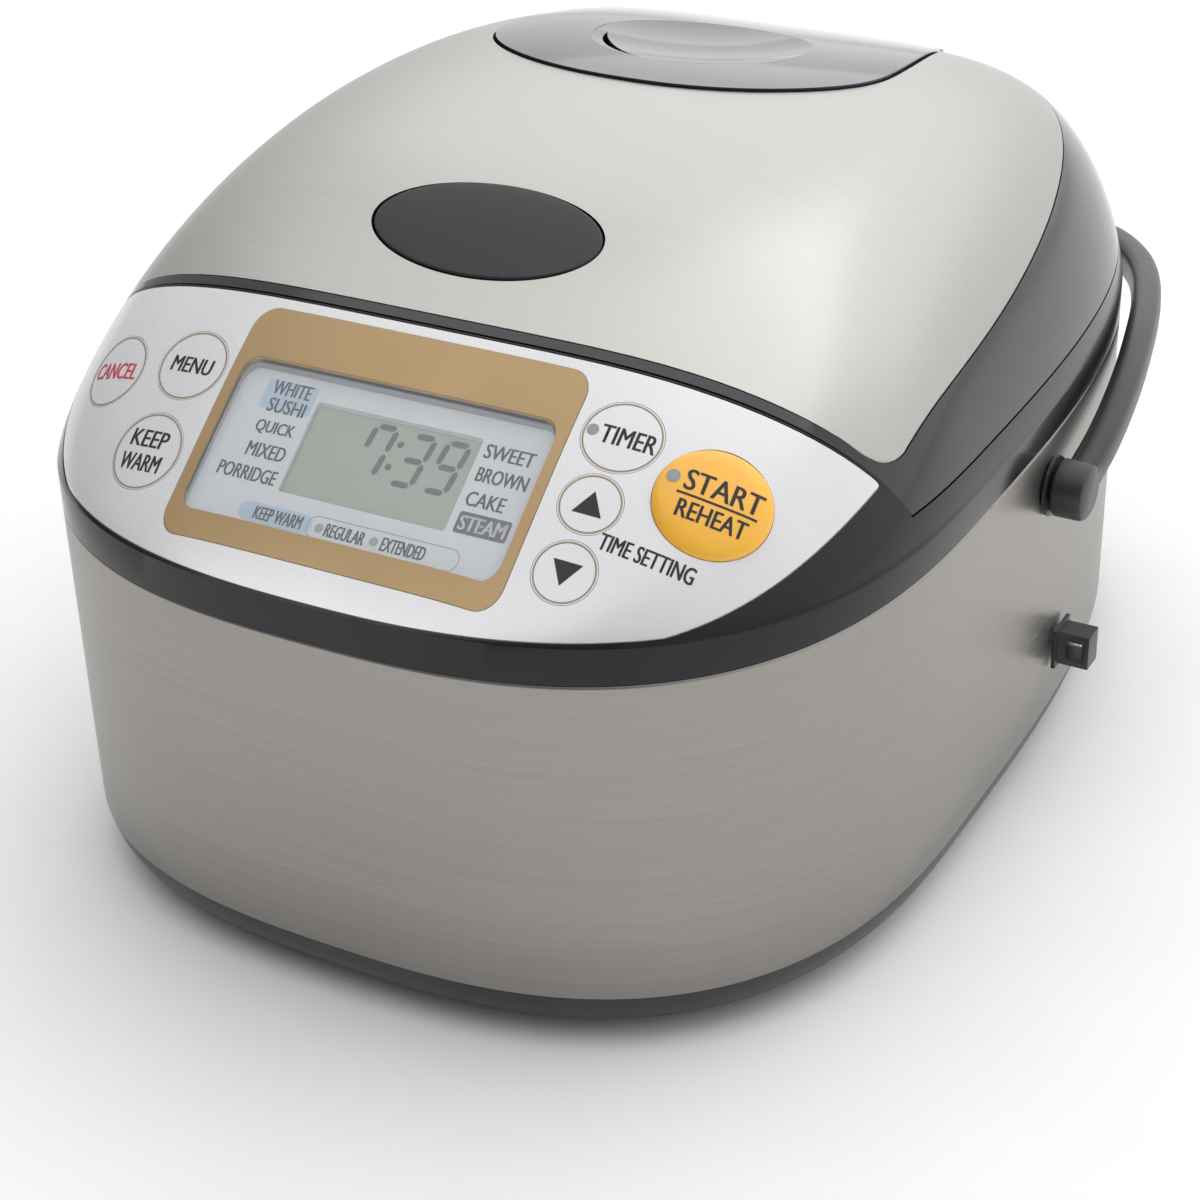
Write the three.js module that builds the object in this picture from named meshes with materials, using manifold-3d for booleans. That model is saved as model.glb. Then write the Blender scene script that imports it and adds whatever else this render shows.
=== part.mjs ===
// A countertop rice cooker: an oval steel body with a hinged domed lid, a sloping control panel
// with sprung keys, a swinging carry handle and the cooking parts inside.
// Millimetres, +Z up, front towards -Y. The finished group stands with the centre of its
// bounding box's bottom face at the origin.
import * as THREE from 'three';
import { mergeVertices } from 'three/addons/utils/BufferGeometryUtils.js';
import Module from 'manifold-3d';

const wasm = await Module();
wasm.setup();

// ---- Driving dimensions ----
const gap = 0.3; // clearance between parts that touch

// Plan outline: a superellipse, deeper behind its widest line than in front of it.
const body = { halfWidth: 130, front: 132.8, rear: 222, frontPower: 2.69, rearPower: 3.18 };
const outlineSteps = 36;

// Heights of the body, from the floor up.
const footHeight = 3;
const steel = { low: 17, high: 114, thickness: 0.8 };
const deck = { low: 128, high: 131 };
const seam = { body: 132.7, lid: 133.3 };

// Domed top: a ridge line along Y times a cross-section along X.
const dome = {
  base: 123.4, peak: 204.8, peakY: 51.5,
  front: [2.41, 1.282], rear: [1.85, 0.457], side: [4.99, 0.775],
};
const domeRings = [0, 0.45, 0.75, 0.9, 0.97, 1];
const hollowSteps = 24; // hidden hollows are coarser than the outer faces
const hollowRings = [0, 0.6, 0.84, 0.95, 1];

// The line in plan where the lid meets the control panel.
const parting = { centreY: -65, rise: 19, halfSpan: 120, power: 6 };

const panel = { halfWidth: 121.5, front: 132.4, power: 2.95, thickness: 1.8, ledge: 5, low: 121.6 };
const bezel = { halfWidth: 50.9, low: -123.3, high: -68.2, corner: 6 };
const windowHole = { halfWidth: 47, low: -114.7, high: -80.9, corner: 7 };
const lcd = { halfWidth: 25.5, low: -102.3, high: -83 };
const cardDepth = 5.4;

const plate = { frontMargin: 3.2, halfWidth: 120.5, middleY: -20, reach: 222, power: 2.6, rear: 168 };
const plateThickness = 1;
const shellWall = 4.2;

const vent = {
  middleY: 88, halfWidth: 62.5, front: 44, power: 2.3, rear: 171, taper: 10.5, taperReach: 62,
};
const ventDish = { y: 92.8, radius: 33.9, depth: 3.6, tilt: -0.11 };
const steamSlot = { inner: 27.5, outer: 30.5, start: Math.PI * 1.08, end: Math.PI * 1.42 };
const steamHole = { y: 85, radius: 10 };

const button = { y: -35.5, halfWidth: 34.5, halfDepth: 16.6, tilt: 0.43, thickness: 9 };

const hinge = {
  y: 203, z: 137, pinRadius: 2.5, trough: 20.5, halfTrough: 90, ear: 50, earWidth: 4, lug: 44.5, lugWidth: 4,
};

const pot = { y: 55, radius: 97.5, wall: 1.6, bottom: 36, rim: 103, rimLow: 131.3, rimHigh: 132.8 };
const deckHole = 99;

const handlePivot = { y: 55, z: 99, shank: 6, stud: 4, lobe: 8.5 };
const handleWidth = 10;
const handleDepth = 12;
const reelY = 187;

// Keys on the panel: plan position, half-axes across and along the slope.
const keys = [
  { name: 'key_cancel', x: -90.6, y: -84.8, across: 11.6, along: 11.2 },
  { name: 'key_menu', x: -63.6, y: -85.2, across: 11, along: 10.6 },
  { name: 'key_keep_warm', x: -65.3, y: -106, across: 11.2, along: 11.4 },
  { name: 'key_timer', x: 64.5, y: -80.1, across: 10.9, along: 9.9 },
  { name: 'key_up', x: 63.6, y: -95.5, across: 8.5, along: 8.2 },
  { name: 'key_down', x: 64, y: -110, across: 8.5, along: 8.5 },
  { name: 'key_start', x: 91.5, y: -84, across: 15.2, along: 14.2, crown: 2 },
];

const footPlaces = [[-75, -72], [75, -72], [-68, 150], [68, 150]];
const screwPlaces = [[-98, -10], [98, -10], [-88, 110], [88, 110]];

// ---- Materials ----
const material = (color, roughness, metalness) =>
  new THREE.MeshStandardMaterial({ color, roughness, metalness });
const brushedSteel = material(0xa39b92, 0.35, 1);
const lidSteel = material(0xc6c3bb, 0.3, 1);
const blackPlastic = material(0x2a292c, 0.3, 0);
const glossBlack = material(0x35343a, 0.12, 0);
const pearlPlastic = material(0xd6d6da, 0.35, 0.2);
const goldFilm = material(0xbf9c66, 0.4, 0.5);
const clearPlastic = material(0xffffff, 0.05, 0);
clearPlastic.transparent = true;
clearPlastic.opacity = 0.2;
const cardPlastic = material(0xe0e2e4, 0.5, 0);
const lcdGlass = material(0x959b8c, 0.25, 0);
const amberPlastic = material(0xf0a32c, 0.25, 0);
const boardGreen = material(0x1f5c3a, 0.6, 0);
const aluminium = material(0xb9bcbf, 0.4, 1);
const darkRubber = material(0x2b2b2b, 0.9, 0);
const greyRubber = material(0xb9b9b5, 0.8, 0);
const potCoating = material(0x3a3a3d, 0.5, 0.3);
const zincSteel = material(0xb0b2b4, 0.35, 1);

// ---- Solids ----
function toSolid(geometry) {
  const bare = geometry.clone();
  bare.deleteAttribute('normal');
  bare.deleteAttribute('uv');
  const merged = mergeVertices(bare, 1e-5);
  return new wasm.Manifold(new wasm.Mesh({
    numProp: 3,
    vertProperties: new Float32Array(merged.attributes.position.array),
    triVerts: new Uint32Array(merged.index.array),
  }));
}

function toGeometry(solid) {
  const result = solid.getMesh();
  const geometry = new THREE.BufferGeometry();
  geometry.setAttribute('position', new THREE.BufferAttribute(new Float32Array(result.vertProperties), 3));
  geometry.setIndex(new THREE.BufferAttribute(new Uint32Array(result.triVerts), 1));
  geometry.computeVertexNormals();
  return geometry;
}

// A closed solid from rings of equal length; both ends close on a centre point.
function ringSolid(rings, startPoint, endPoint) {
  const count = rings[0].length;
  const positions = [];
  for (const ring of rings) for (const point of ring) positions.push(point.x, point.y, point.z);
  const faces = [];
  for (let level = 0; level + 1 < rings.length; level += 1) {
    for (let step = 0; step < count; step += 1) {
      const here = level * count + step;
      const next = level * count + ((step + 1) % count);
      faces.push(here, next, here + count, next, next + count, here + count);
    }
  }
  const startIndex = positions.length / 3;
  positions.push(startPoint.x, startPoint.y, startPoint.z, endPoint.x, endPoint.y, endPoint.z);
  const lastRing = (rings.length - 1) * count;
  for (let step = 0; step < count; step += 1) {
    const next = (step + 1) % count;
    faces.push(next, step, startIndex, lastRing + step, lastRing + next, startIndex + 1);
  }
  const geometry = new THREE.BufferGeometry();
  geometry.setAttribute('position', new THREE.BufferAttribute(new Float32Array(positions), 3));
  geometry.setIndex(faces);
  return toSolid(geometry);
}

// Extrudes a plan outline, given as [x, y] points, between two heights.
function prism(points, low, high) {
  const shape = new THREE.Shape(points.map(([x, y]) => new THREE.Vector2(x, y)));
  const geometry = new THREE.ExtrudeGeometry(shape, { depth: high - low, bevelEnabled: false });
  geometry.translate(0, 0, low);
  return toSolid(geometry);
}

// Extrudes an outline drawn in the YZ plane between two places along X.
function slabAlongX(points, low, high) {
  const shape = new THREE.Shape(points.map(([y, z]) => new THREE.Vector2(y, z)));
  const geometry = new THREE.ExtrudeGeometry(shape, { depth: high - low, bevelEnabled: false });
  geometry.applyMatrix4(new THREE.Matrix4().makeBasis(
    new THREE.Vector3(0, 1, 0), new THREE.Vector3(0, 0, 1), new THREE.Vector3(1, 0, 0)));
  geometry.translate(low, 0, 0);
  return toSolid(geometry);
}

function boxBetween(low, high) {
  const geometry = new THREE.BoxGeometry(high[0] - low[0], high[1] - low[1], high[2] - low[2]);
  geometry.translate((low[0] + high[0]) / 2, (low[1] + high[1]) / 2, (low[2] + high[2]) / 2);
  return toSolid(geometry);
}

// A turned solid on a vertical axis: profile is [radius, height] points.
function turned(profile, centreX, centreY, segments = 28) {
  const points = profile.map(([radius, height]) => new THREE.Vector2(radius, height));
  const geometry = new THREE.LatheGeometry(points, segments);
  geometry.rotateX(Math.PI / 2);
  geometry.translate(centreX, centreY, 0);
  return outwardSolid(geometry);
}

// Faces a closed geometry outward and makes it a solid.
function outwardSolid(geometry) {
  const bare = geometry.clone();
  bare.deleteAttribute('normal');
  bare.deleteAttribute('uv');
  const merged = mergeVertices(bare, 1e-4);
  const kept = dropFlatFaces(merged);
  if (signedVolume(kept) < 0) flip(kept);
  return toSolid(kept);
}

function dropFlatFaces(geometry) {
  const index = [];
  const source = geometry.index.array;
  for (let i = 0; i < source.length; i += 3) {
    const [a, b, c] = [source[i], source[i + 1], source[i + 2]];
    if (a !== b && b !== c && c !== a) index.push(a, b, c);
  }
  geometry.setIndex(index);
  return geometry;
}

function signedVolume(geometry) {
  const position = geometry.attributes.position;
  const index = geometry.index.array;
  const [a, b, c] = [new THREE.Vector3(), new THREE.Vector3(), new THREE.Vector3()];
  let total = 0;
  for (let i = 0; i < index.length; i += 3) {
    a.fromBufferAttribute(position, index[i]);
    b.fromBufferAttribute(position, index[i + 1]);
    c.fromBufferAttribute(position, index[i + 2]);
    total += a.dot(b.cross(c)) / 6;
  }
  return total;
}

function flip(geometry) {
  const index = geometry.index.array;
  for (let i = 0; i < index.length; i += 3) [index[i + 1], index[i + 2]] = [index[i + 2], index[i + 1]];
}

function rod(radius, start, end, segments = 16) {
  const from = new THREE.Vector3(...start);
  const to = new THREE.Vector3(...end);
  const along = to.clone().sub(from);
  const geometry = new THREE.CylinderGeometry(radius, radius, along.length(), segments);
  geometry.applyQuaternion(new THREE.Quaternion().setFromUnitVectors(
    new THREE.Vector3(0, 1, 0), along.clone().normalize()));
  geometry.translate(...from.add(to).multiplyScalar(0.5).toArray());
  return toSolid(geometry);
}

function coilSpring(centre, coilRadius, wireRadius, low, high, turns) {
  const points = [];
  const stepsPerTurn = 6;
  for (let step = 0; step <= turns * stepsPerTurn; step += 1) {
    const angle = (step / stepsPerTurn) * Math.PI * 2;
    const height = low + wireRadius + ((high - low - 2 * wireRadius) * step) / (turns * stepsPerTurn);
    points.push(new THREE.Vector3(
      centre[0] + coilRadius * Math.cos(angle), centre[1] + coilRadius * Math.sin(angle), height));
  }
  return tubeAlong(points, wireRadius, wireRadius, 4, points.length - 1);
}

// A bar of rounded section swept along a smooth curve through the given points.
function tubeAlong(points, halfAcross, halfUp, sides, steps) {
  const section = new THREE.Shape();
  for (let side = 0; side < sides; side += 1) {
    const angle = ((side + 0.5) / sides) * Math.PI * 2;
    const x = halfUp * Math.sign(Math.cos(angle)) * Math.abs(Math.cos(angle)) ** 0.75;
    const y = halfAcross * Math.sign(Math.sin(angle)) * Math.abs(Math.sin(angle)) ** 0.75;
    if (side === 0) section.moveTo(x, y); else section.lineTo(x, y);
  }
  section.closePath();
  const curve = new THREE.CatmullRomCurve3(points, false, 'centripetal');
  const geometry = new THREE.ExtrudeGeometry(section, { steps, bevelEnabled: false, extrudePath: curve });
  return outwardSolid(geometry);
}

// ---- The plan outline and the dome ----
function outlinePoint(angle, inset) {
  const front = Math.sin(angle) < 0;
  const power = front ? body.frontPower : body.rearPower;
  const depth = (front ? body.front : body.rear) - inset;
  const across = Math.abs(Math.cos(angle)) / (body.halfWidth - inset);
  const along = Math.abs(Math.sin(angle)) / depth;
  const reach = (across ** power + along ** power) ** (-1 / power);
  return [reach * Math.cos(angle), reach * Math.sin(angle)];
}

function outlineRing(inset, steps = outlineSteps) {
  const points = [];
  for (let step = 0; step < steps; step += 1) {
    points.push(outlinePoint((step / steps) * Math.PI * 2, inset));
  }
  return points;
}

const outlinePrism = (inset, low, high, steps) => prism(outlineRing(inset, steps), low, high);

function halfWidthAt(y, inset) {
  const front = y < 0;
  const power = front ? body.frontPower : body.rearPower;
  const depth = (front ? body.front : body.rear) - inset;
  return (body.halfWidth - inset) * Math.max(1 - (Math.abs(y) / depth) ** power, 0) ** (1 / power);
}

function domeHeight(x, y, inset) {
  const [power, root] = y < dome.peakY ? dome.front : dome.rear;
  const reach = y < dome.peakY ? dome.peakY + body.front - inset : body.rear - inset - dome.peakY;
  const ridge = Math.max(1 - (Math.abs(y - dome.peakY) / reach) ** power, 0) ** root;
  const halfWidth = Math.max(halfWidthAt(y, inset), 1e-6);
  const section = Math.max(1 - Math.min(Math.abs(x) / halfWidth, 1) ** dome.side[0], 0) ** dome.side[1];
  return dome.base + (dome.peak - dome.base - inset) * ridge * section;
}

// The dome lowered and narrowed by an inset, standing on a flat floor.
function domeSolid(inset, floor, steps = outlineSteps, shares = domeRings) {
  const rim = outlineRing(inset, steps);
  const rings = [rim.map(([x, y]) => new THREE.Vector3(x, y, floor))];
  for (const share of [...shares].reverse()) {
    if (share === 0) continue;
    rings.push(rim.map(([x, y]) => {
      const px = x * share;
      const py = dome.peakY + (y - dome.peakY) * share;
      const pz = share === 1 ? dome.base : domeHeight(px, py, inset);
      return new THREE.Vector3(px, py, pz);
    }));
  }
  return ringSolid(rings,
    new THREE.Vector3(0, dome.peakY, floor),
    new THREE.Vector3(0, dome.peakY, domeHeight(0, dome.peakY, inset)));
}

const domeHollow = (inset, floor) => domeSolid(inset, floor, hollowSteps, hollowRings);

function domeNormal(x, y) {
  const reach = 0.5;
  const slopeX = (domeHeight(x + reach, y, 0) - domeHeight(x - reach, y, 0)) / (2 * reach);
  const slopeY = (domeHeight(x, y + reach, 0) - domeHeight(x, y - reach, 0)) / (2 * reach);
  return new THREE.Vector3(-slopeX, -slopeY, 1).normalize();
}

// A tray or ring whose section, as [inset, height] points, follows the plan outline.
function sweptTray(profile, floorLow, floorHigh) {
  const rings = profile.map(([inset, height]) =>
    outlineRing(inset).map(([x, y]) => new THREE.Vector3(x, y, height)));
  return ringSolid(rings, new THREE.Vector3(0, 0, floorLow), new THREE.Vector3(0, 0, floorHigh));
}

// ---- Plan shapes cut from the dome ----
const partingStations = [0, 42, 66, 82, 94, 104, 112, 119, 127, 135];

// Straight between its stations, so that the pieces on both sides of it stay parallel.
function partingY(x) {
  const reach = Math.min(Math.abs(x), 135);
  const station = partingStations.findIndex((value) => value >= reach);
  const [low, high] = [partingStations[Math.max(station - 1, 0)], partingStations[station]];
  const height = (value) => parting.centreY + parting.rise * (value / parting.halfSpan) ** parting.power;
  if (high === low) return height(high);
  return height(low) + ((height(high) - height(low)) * (reach - low)) / (high - low);
}

const partingSpan = [...partingStations.slice(1).reverse().map((x) => -x), ...partingStations];

function lidRegion(offset) {
  return [...partingSpan.map((x) => [x, partingY(x) + offset]), [150, 260], [-150, 260]];
}

function panelRegion(inset) {
  const points = [];
  const steps = 28;
  for (let step = 0; step <= steps; step += 1) {
    const angle = Math.PI + (step / steps) * Math.PI;
    const across = Math.abs(Math.cos(angle)) / (panel.halfWidth - inset);
    const along = Math.abs(Math.sin(angle)) / (panel.front - inset);
    const reach = (across ** panel.power + along ** panel.power) ** (-1 / panel.power);
    const x = reach * Math.cos(angle);
    const y = reach * Math.sin(angle);
    if (y < partingY(x) - 0.6 - inset) points.push([x, y]);
  }
  const topHalfSpan = 119 - inset;
  const topSpan = [-topHalfSpan, ...partingSpan.filter((x) => Math.abs(x) < topHalfSpan - 1), topHalfSpan];
  for (const x of topSpan.reverse()) points.push([x, partingY(x) - 0.6 - inset]);
  return points;
}

// Closes an outline given as its right half, which starts on the centre line.
const mirrored = (rightHalf) => [...rightHalf, ...rightHalf.slice(1).reverse().map(([x, y]) => [-x, y])];

function roundedRectangle(halfWidth, low, high, corner) {
  const points = [];
  const centres = [[halfWidth - corner, high - corner], [-halfWidth + corner, high - corner],
    [-halfWidth + corner, low + corner], [halfWidth - corner, low + corner]];
  centres.forEach(([x, y], quarter) => {
    for (let step = 0; step <= 3; step += 1) {
      const angle = (quarter + step / 3) * Math.PI / 2;
      points.push([x + corner * Math.cos(angle), y + corner * Math.sin(angle)]);
    }
  });
  return points;
}

function rectangleRegion(part, grow) {
  const corner = (part.corner ?? 1) + Math.max(grow, 0);
  return roundedRectangle(part.halfWidth + grow, part.low - grow, part.high + grow, corner);
}

function plateRegion(grow) {
  const margin = plate.frontMargin - grow;
  const side = (y) => {
    const along = (Math.abs(y - plate.middleY) / plate.reach) ** plate.power;
    return grow + plate.halfWidth * (1 - along) ** (1 / plate.power);
  };
  const rightHalf = [];
  for (let x = 0; x <= 108; x += 18) rightHalf.push([x, partingY(x) + margin]);
  // The front corner turns back along the lid's side.
  rightHalf.push([114 + grow, partingY(114) + margin + 0.6], [118.6 + grow, -43.5 - grow], [120.2 + grow, -38]);
  for (let y = -20; y < plate.rear - 6; y += 24) rightHalf.push([side(y), y]);
  const cornerX = side(plate.rear);
  rightHalf.push([cornerX, plate.rear - 5], [cornerX - 5, plate.rear + grow]);
  return mirrored(rightHalf);
}

function ventRegion(grow) {
  const rightHalf = [];
  const steps = 6;
  for (let step = 0; step <= steps; step += 1) {
    const angle = (step / steps) * Math.PI / 2;
    rightHalf.push([
      (vent.halfWidth + grow) * Math.sin(angle) ** (2 / vent.power),
      vent.middleY - (vent.front + grow) * Math.cos(angle) ** (2 / vent.power)]);
  }
  for (const y of [112, 135, 155]) {
    const narrowing = vent.taper * ((y - vent.middleY) / vent.taperReach) ** 1.6;
    rightHalf.push([grow + vent.halfWidth - narrowing, y]);
  }
  rightHalf.push([40 + grow, vent.rear + grow]);
  return mirrored(rightHalf);
}

// ---- Placing a piece square to the sloping surface ----
function surfaceFrame(x, y) {
  const normal = domeNormal(x, y);
  const across = new THREE.Vector3(1, 0, 0).addScaledVector(normal, -normal.x).normalize();
  const along = new THREE.Vector3().crossVectors(normal, across);
  return new THREE.Matrix4().makeBasis(across, along, normal)
    .setPosition(x, y, domeHeight(x, y, 0));
}

function ovalPlug(frame, across, along, low, high, segments = 20) {
  const geometry = new THREE.CylinderGeometry(1, 1, high - low, segments);
  geometry.rotateX(Math.PI / 2);
  geometry.scale(across, along, 1);
  geometry.translate(0, 0, (low + high) / 2);
  geometry.applyMatrix4(frame);
  return toSolid(geometry);
}

function ovalCrown(frame, across, along, profile, segments = 24) {
  const geometry = new THREE.LatheGeometry(profile.map(([r, z]) => new THREE.Vector2(r, z)), segments);
  geometry.rotateX(Math.PI / 2);
  geometry.scale(across, along, 1);
  geometry.applyMatrix4(frame);
  return outwardSolid(geometry);
}

// ---- Shared cutters ----
const outerDome = domeSolid(0, steel.high + 0.2);
const buttonFrame = new THREE.Matrix4().makeBasis(
  new THREE.Vector3(1, 0, 0),
  new THREE.Vector3(0, Math.cos(button.tilt), Math.sin(button.tilt)),
  new THREE.Vector3(0, -Math.sin(button.tilt), Math.cos(button.tilt)),
).setPosition(0, button.y, domeHeight(0, button.y, 0));
const hingeAxis = (radius, halfLength, segments = 32) =>
  rod(radius, [-halfLength, hinge.y, hinge.z], [halfLength, hinge.y, hinge.z], segments);

const acrossPivot = (radius, from, to) =>
  rod(radius, [from, handlePivot.y, handlePivot.z], [to, handlePivot.y, handlePivot.z]);

// ---- Pieces ----
function baseTray() {
  let tray = sweptTray([
    [14, footHeight], [8, 4.2], [4, 7.5], [1.6, 12], [0.6, steel.low - 0.4], [1.2, steel.low - 0.4],
    [1.2, 27], [3.6, 27], [3.6, 9], [9, 6],
  ], footHeight, 6);
  for (const [x, y] of screwPlaces) tray = tray.subtract(rod(2.1, [x, y, 0], [x, y, 10]));
  return tray;
}

function steelWrap() {
  const outer = outlinePrism(0, steel.low, steel.high);
  const inner = outlinePrism(steel.thickness, steel.low - 1, steel.high + 1);
  let wrap = outer.subtract(inner);
  for (const side of [-1, 1]) {
    wrap = wrap.subtract(acrossPivot(handlePivot.shank + gap, side * 115, side * 140));
  }
  return wrap.subtract(boxBetween([-20.3, 205, 29.7], [20.3, 230, 56.3]));
}

function upperFrame() {
  const lipLow = steel.high - 8;
  const lip = outlinePrism(1.2, lipLow, steel.high + 6).subtract(outlinePrism(3.4, lipLow - 1, steel.high + 7));
  const trough = hingeAxis(hinge.trough, hinge.halfTrough);
  const troughWall = hingeAxis(hinge.trough + 2.5, hinge.halfTrough + 3);
  const underPanel = domeHollow(4.4, 110).intersect(
    prism([[-140, -200], [140, -200], ...lidRegion(-3).slice(0, -2).reverse()], 100, 230));
  const underDeck = outlinePrism(3.4, 110, deck.low).subtract(troughWall);
  const recess = prism(panelRegion(-gap), panel.low - gap, 220).subtract(domeSolid(panel.thickness + gap, 90));
  let frame = outerDome
    .subtract(prism(lidRegion(0), deck.high, 230))
    .add(outerDome.intersect(outlinePrism(0, deck.low, seam.body)).subtract(outlinePrism(3.2, 110, 140))
      .intersect(prism(lidRegion(-1), 100, 230)))
    .subtract(underPanel)
    .subtract(underDeck)
    .add(lip)
    .subtract(recess)
    .subtract(prism(panelRegion(panel.ledge), 100, 220))
    .subtract(trough)
    .subtract(rod(deckHole, [0, pot.y, 120], [0, pot.y, 140], 36))
    .subtract(boxBetween([-12.5, -63.4, 120], [12.5, -50.5, 140]));
  for (const key of keys) {
    const place = surfaceFrame(key.x, key.y);
    frame = frame.subtract(ovalPlug(place, key.across + 2 * gap, key.along + 2 * gap, -10, 10));
  }
  for (const low of [-hinge.ear - hinge.earWidth, hinge.ear]) {
    frame = frame.add(slabAlongX([[172, deck.high - 1], [186, deck.high - 0.5], [199, 131.8], [203, 130.5],
      [207, 131.8], [208.5, 137], [206.6, 141], [203, 142.4], [199.4, 141], [186, 138], [174, 135]],
    low, low + hinge.earWidth));
  }
  return frame.subtract(hingeAxis(hinge.pinRadius + gap, 64, 24));
}

function controlPanel() {
  const skin = outerDome.subtract(domeSolid(panel.thickness, 90));
  let sheet = skin.intersect(prism(panelRegion(0), panel.low, 220));
  sheet = sheet.subtract(prism(rectangleRegion(bezel, gap), 100, 220));
  for (const key of keys) {
    sheet = sheet.subtract(ovalPlug(surfaceFrame(key.x, key.y), key.across + gap, key.along + gap, -10, 10));
  }
  return sheet;
}

function keySolid(key) {
  const frame = surfaceFrame(key.x, key.y);
  if (!key.crown) {
    return ovalPlug(frame, key.across, key.along, -4, 6).intersect(domeSolid(-0.1, 90));
  }
  const profile = [[0, -4], [1, -4], [1, -1.2], [0.97, -0.3], [0.88, 0.5], [0.7, 1.2], [0.42, 1.75],
    [0, key.crown]];
  return ovalCrown(frame, key.across, key.along, profile);
}

function displayBezel() {
  const face = domeSolid(-0.15, 90).subtract(domeSolid(panel.thickness, 80))
    .intersect(prism(rectangleRegion(bezel, 0), 100, 220));
  const well = domeSolid(0.8, 90).subtract(domeHollow(cardDepth - gap, 80))
    .intersect(prism(rectangleRegion(windowHole, 1.4), 100, 220));
  return face.add(well).subtract(prism(rectangleRegion(windowHole, 0), 90, 230));
}

const panelSlice = (top, bottom, region) =>
  domeHollow(top, 90).subtract(domeHollow(bottom, 80)).intersect(prism(region, 100, 220));

function displayCard() {
  const card = panelSlice(cardDepth, cardDepth + 1.2, roundedRectangle(49.5, -118, -77.5, 2));
  return card.subtract(prism(rectangleRegion(lcd, 0), 90, 220));
}

const buttonHole = () => ovalPlug(buttonFrame, button.halfWidth + 0.5, button.halfDepth + 0.5, -14, 12, 32);

function lidShell() {
  const region = prism(lidRegion(0.5), seam.lid, 230);
  const plateRecess = prism(plateRegion(gap), 100, 230).subtract(domeSolid(plateThickness + gap, 80));
  const hollow = domeSolid(shellWall, 100, outlineSteps, hollowRings).intersect(prism(lidRegion(3.6), 90, 230));
  const ventCut = prism(ventRegion(0.5), 100, 230);
  // The vent set drops into this pocket, which is open above.
  const pocket = domeSolid(1.4, 90).subtract(domeHollow(13, 80)).intersect(prism(ventRegion(2.8), 100, 230))
    .subtract(ventCut.subtract(domeHollow(10.8, 80)));
  let shell = outerDome.intersect(region).subtract(plateRecess).subtract(hollow).subtract(ventCut).add(pocket);
  shell = shell.subtract(rod(steamHole.radius, [0, steamHole.y, 150], [0, steamHole.y, 230]));
  shell = shell.subtract(buttonHole());
  for (const side of [-1, 1]) {
    const low = side > 0 ? hinge.lug : -hinge.lug - hinge.lugWidth;
    const lug = slabAlongX([[196, 137], [198, 132.5], [203, 130.5], [208, 132.5], [210, 137],
      [210, 170], [196, 170]], low, low + hinge.lugWidth).intersect(domeSolid(2, 90));
    const [near, far] = [side * (hinge.ear - 1), side * (hinge.ear + hinge.earWidth + 1)];
    const earRoom = rod(8, [near, hinge.y, hinge.z], [far, hinge.y, hinge.z]);
    shell = shell.add(lug).subtract(earRoom);
  }
  return shell.subtract(hingeAxis(hinge.pinRadius + gap, 64, 24));
}

function lidPlate() {
  return outerDome.subtract(domeSolid(plateThickness, 80))
    .intersect(prism(plateRegion(0), 100, 230))
    .subtract(prism(ventRegion(0.8), 100, 230))
    .subtract(buttonHole());
}

function steamVentCap() {
  const slab = domeSolid(-0.8, 90).subtract(domeSolid(6.5, 80)).intersect(prism(ventRegion(0), 100, 230));
  const dishFrame = new THREE.Matrix4().makeRotationX(ventDish.tilt)
    .setPosition(0, ventDish.y, domeHeight(0, ventDish.y, -0.8) - 0.2);
  const bowl = [0.5, 0.75, 1].map((share) => [share, -ventDish.depth * (1 - share * share)]);
  const profile = [[0, -ventDish.depth], ...bowl, [1, 8], [0, 8]];
  const dish = ovalCrown(dishFrame, ventDish.radius, ventDish.radius, profile, 32);
  const slot = [...slotArc(steamSlot.outer), ...slotArc(steamSlot.inner).reverse()];
  return slab.subtract(dish).subtract(prism(slot, 150, 230));
}

// One curved edge of the steam slot at the front of the dish.
function slotArc(radius) {
  const points = [];
  const steps = 8;
  for (let step = 0; step <= steps; step += 1) {
    const angle = steamSlot.start + ((steamSlot.end - steamSlot.start) * step) / steps;
    points.push([radius * Math.cos(angle), ventDish.y + radius * Math.sin(angle)]);
  }
  return points;
}

function steamVentBase() {
  return domeSolid(6.5 + gap, 90).subtract(domeHollow(10.2, 80)).intersect(prism(ventRegion(-3), 100, 230))
    .subtract(rod(steamHole.radius - 1, [0, steamHole.y, 150], [0, steamHole.y, 230]));
}

function lidInnerCover() {
  const [low, high] = [seam.lid + 0.6, seam.lid + 3];
  const [cupInner, cupOuter, cupTop] = [104.5, 106, 144];
  const sheet = outlinePrism(0, low, high).intersect(domeSolid(shellWall + 0.6, 90, outlineSteps, hollowRings))
    .intersect(prism(lidRegion(4), 90, 230)).intersect(boxBetween([-140, -100, 100], [140, plate.rear, 200]))
    .subtract(rod(cupInner + 0.5, [0, pot.y, low - 5], [0, pot.y, high + 5], 36))
    .subtract(boxBetween([-12.5, -63.5, 120], [12.5, -51.4, 150]));
  const cup = turned([[0, cupTop], [cupOuter, cupTop], [cupOuter, low], [cupInner, low],
    [cupInner, cupTop - 1.6], [0, cupTop - 1.6]], 0, pot.y, 36);
  return sheet.add(cup).subtract(rod(steamHole.radius, [0, steamHole.y, 130], [0, steamHole.y, 160]));
}

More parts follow.
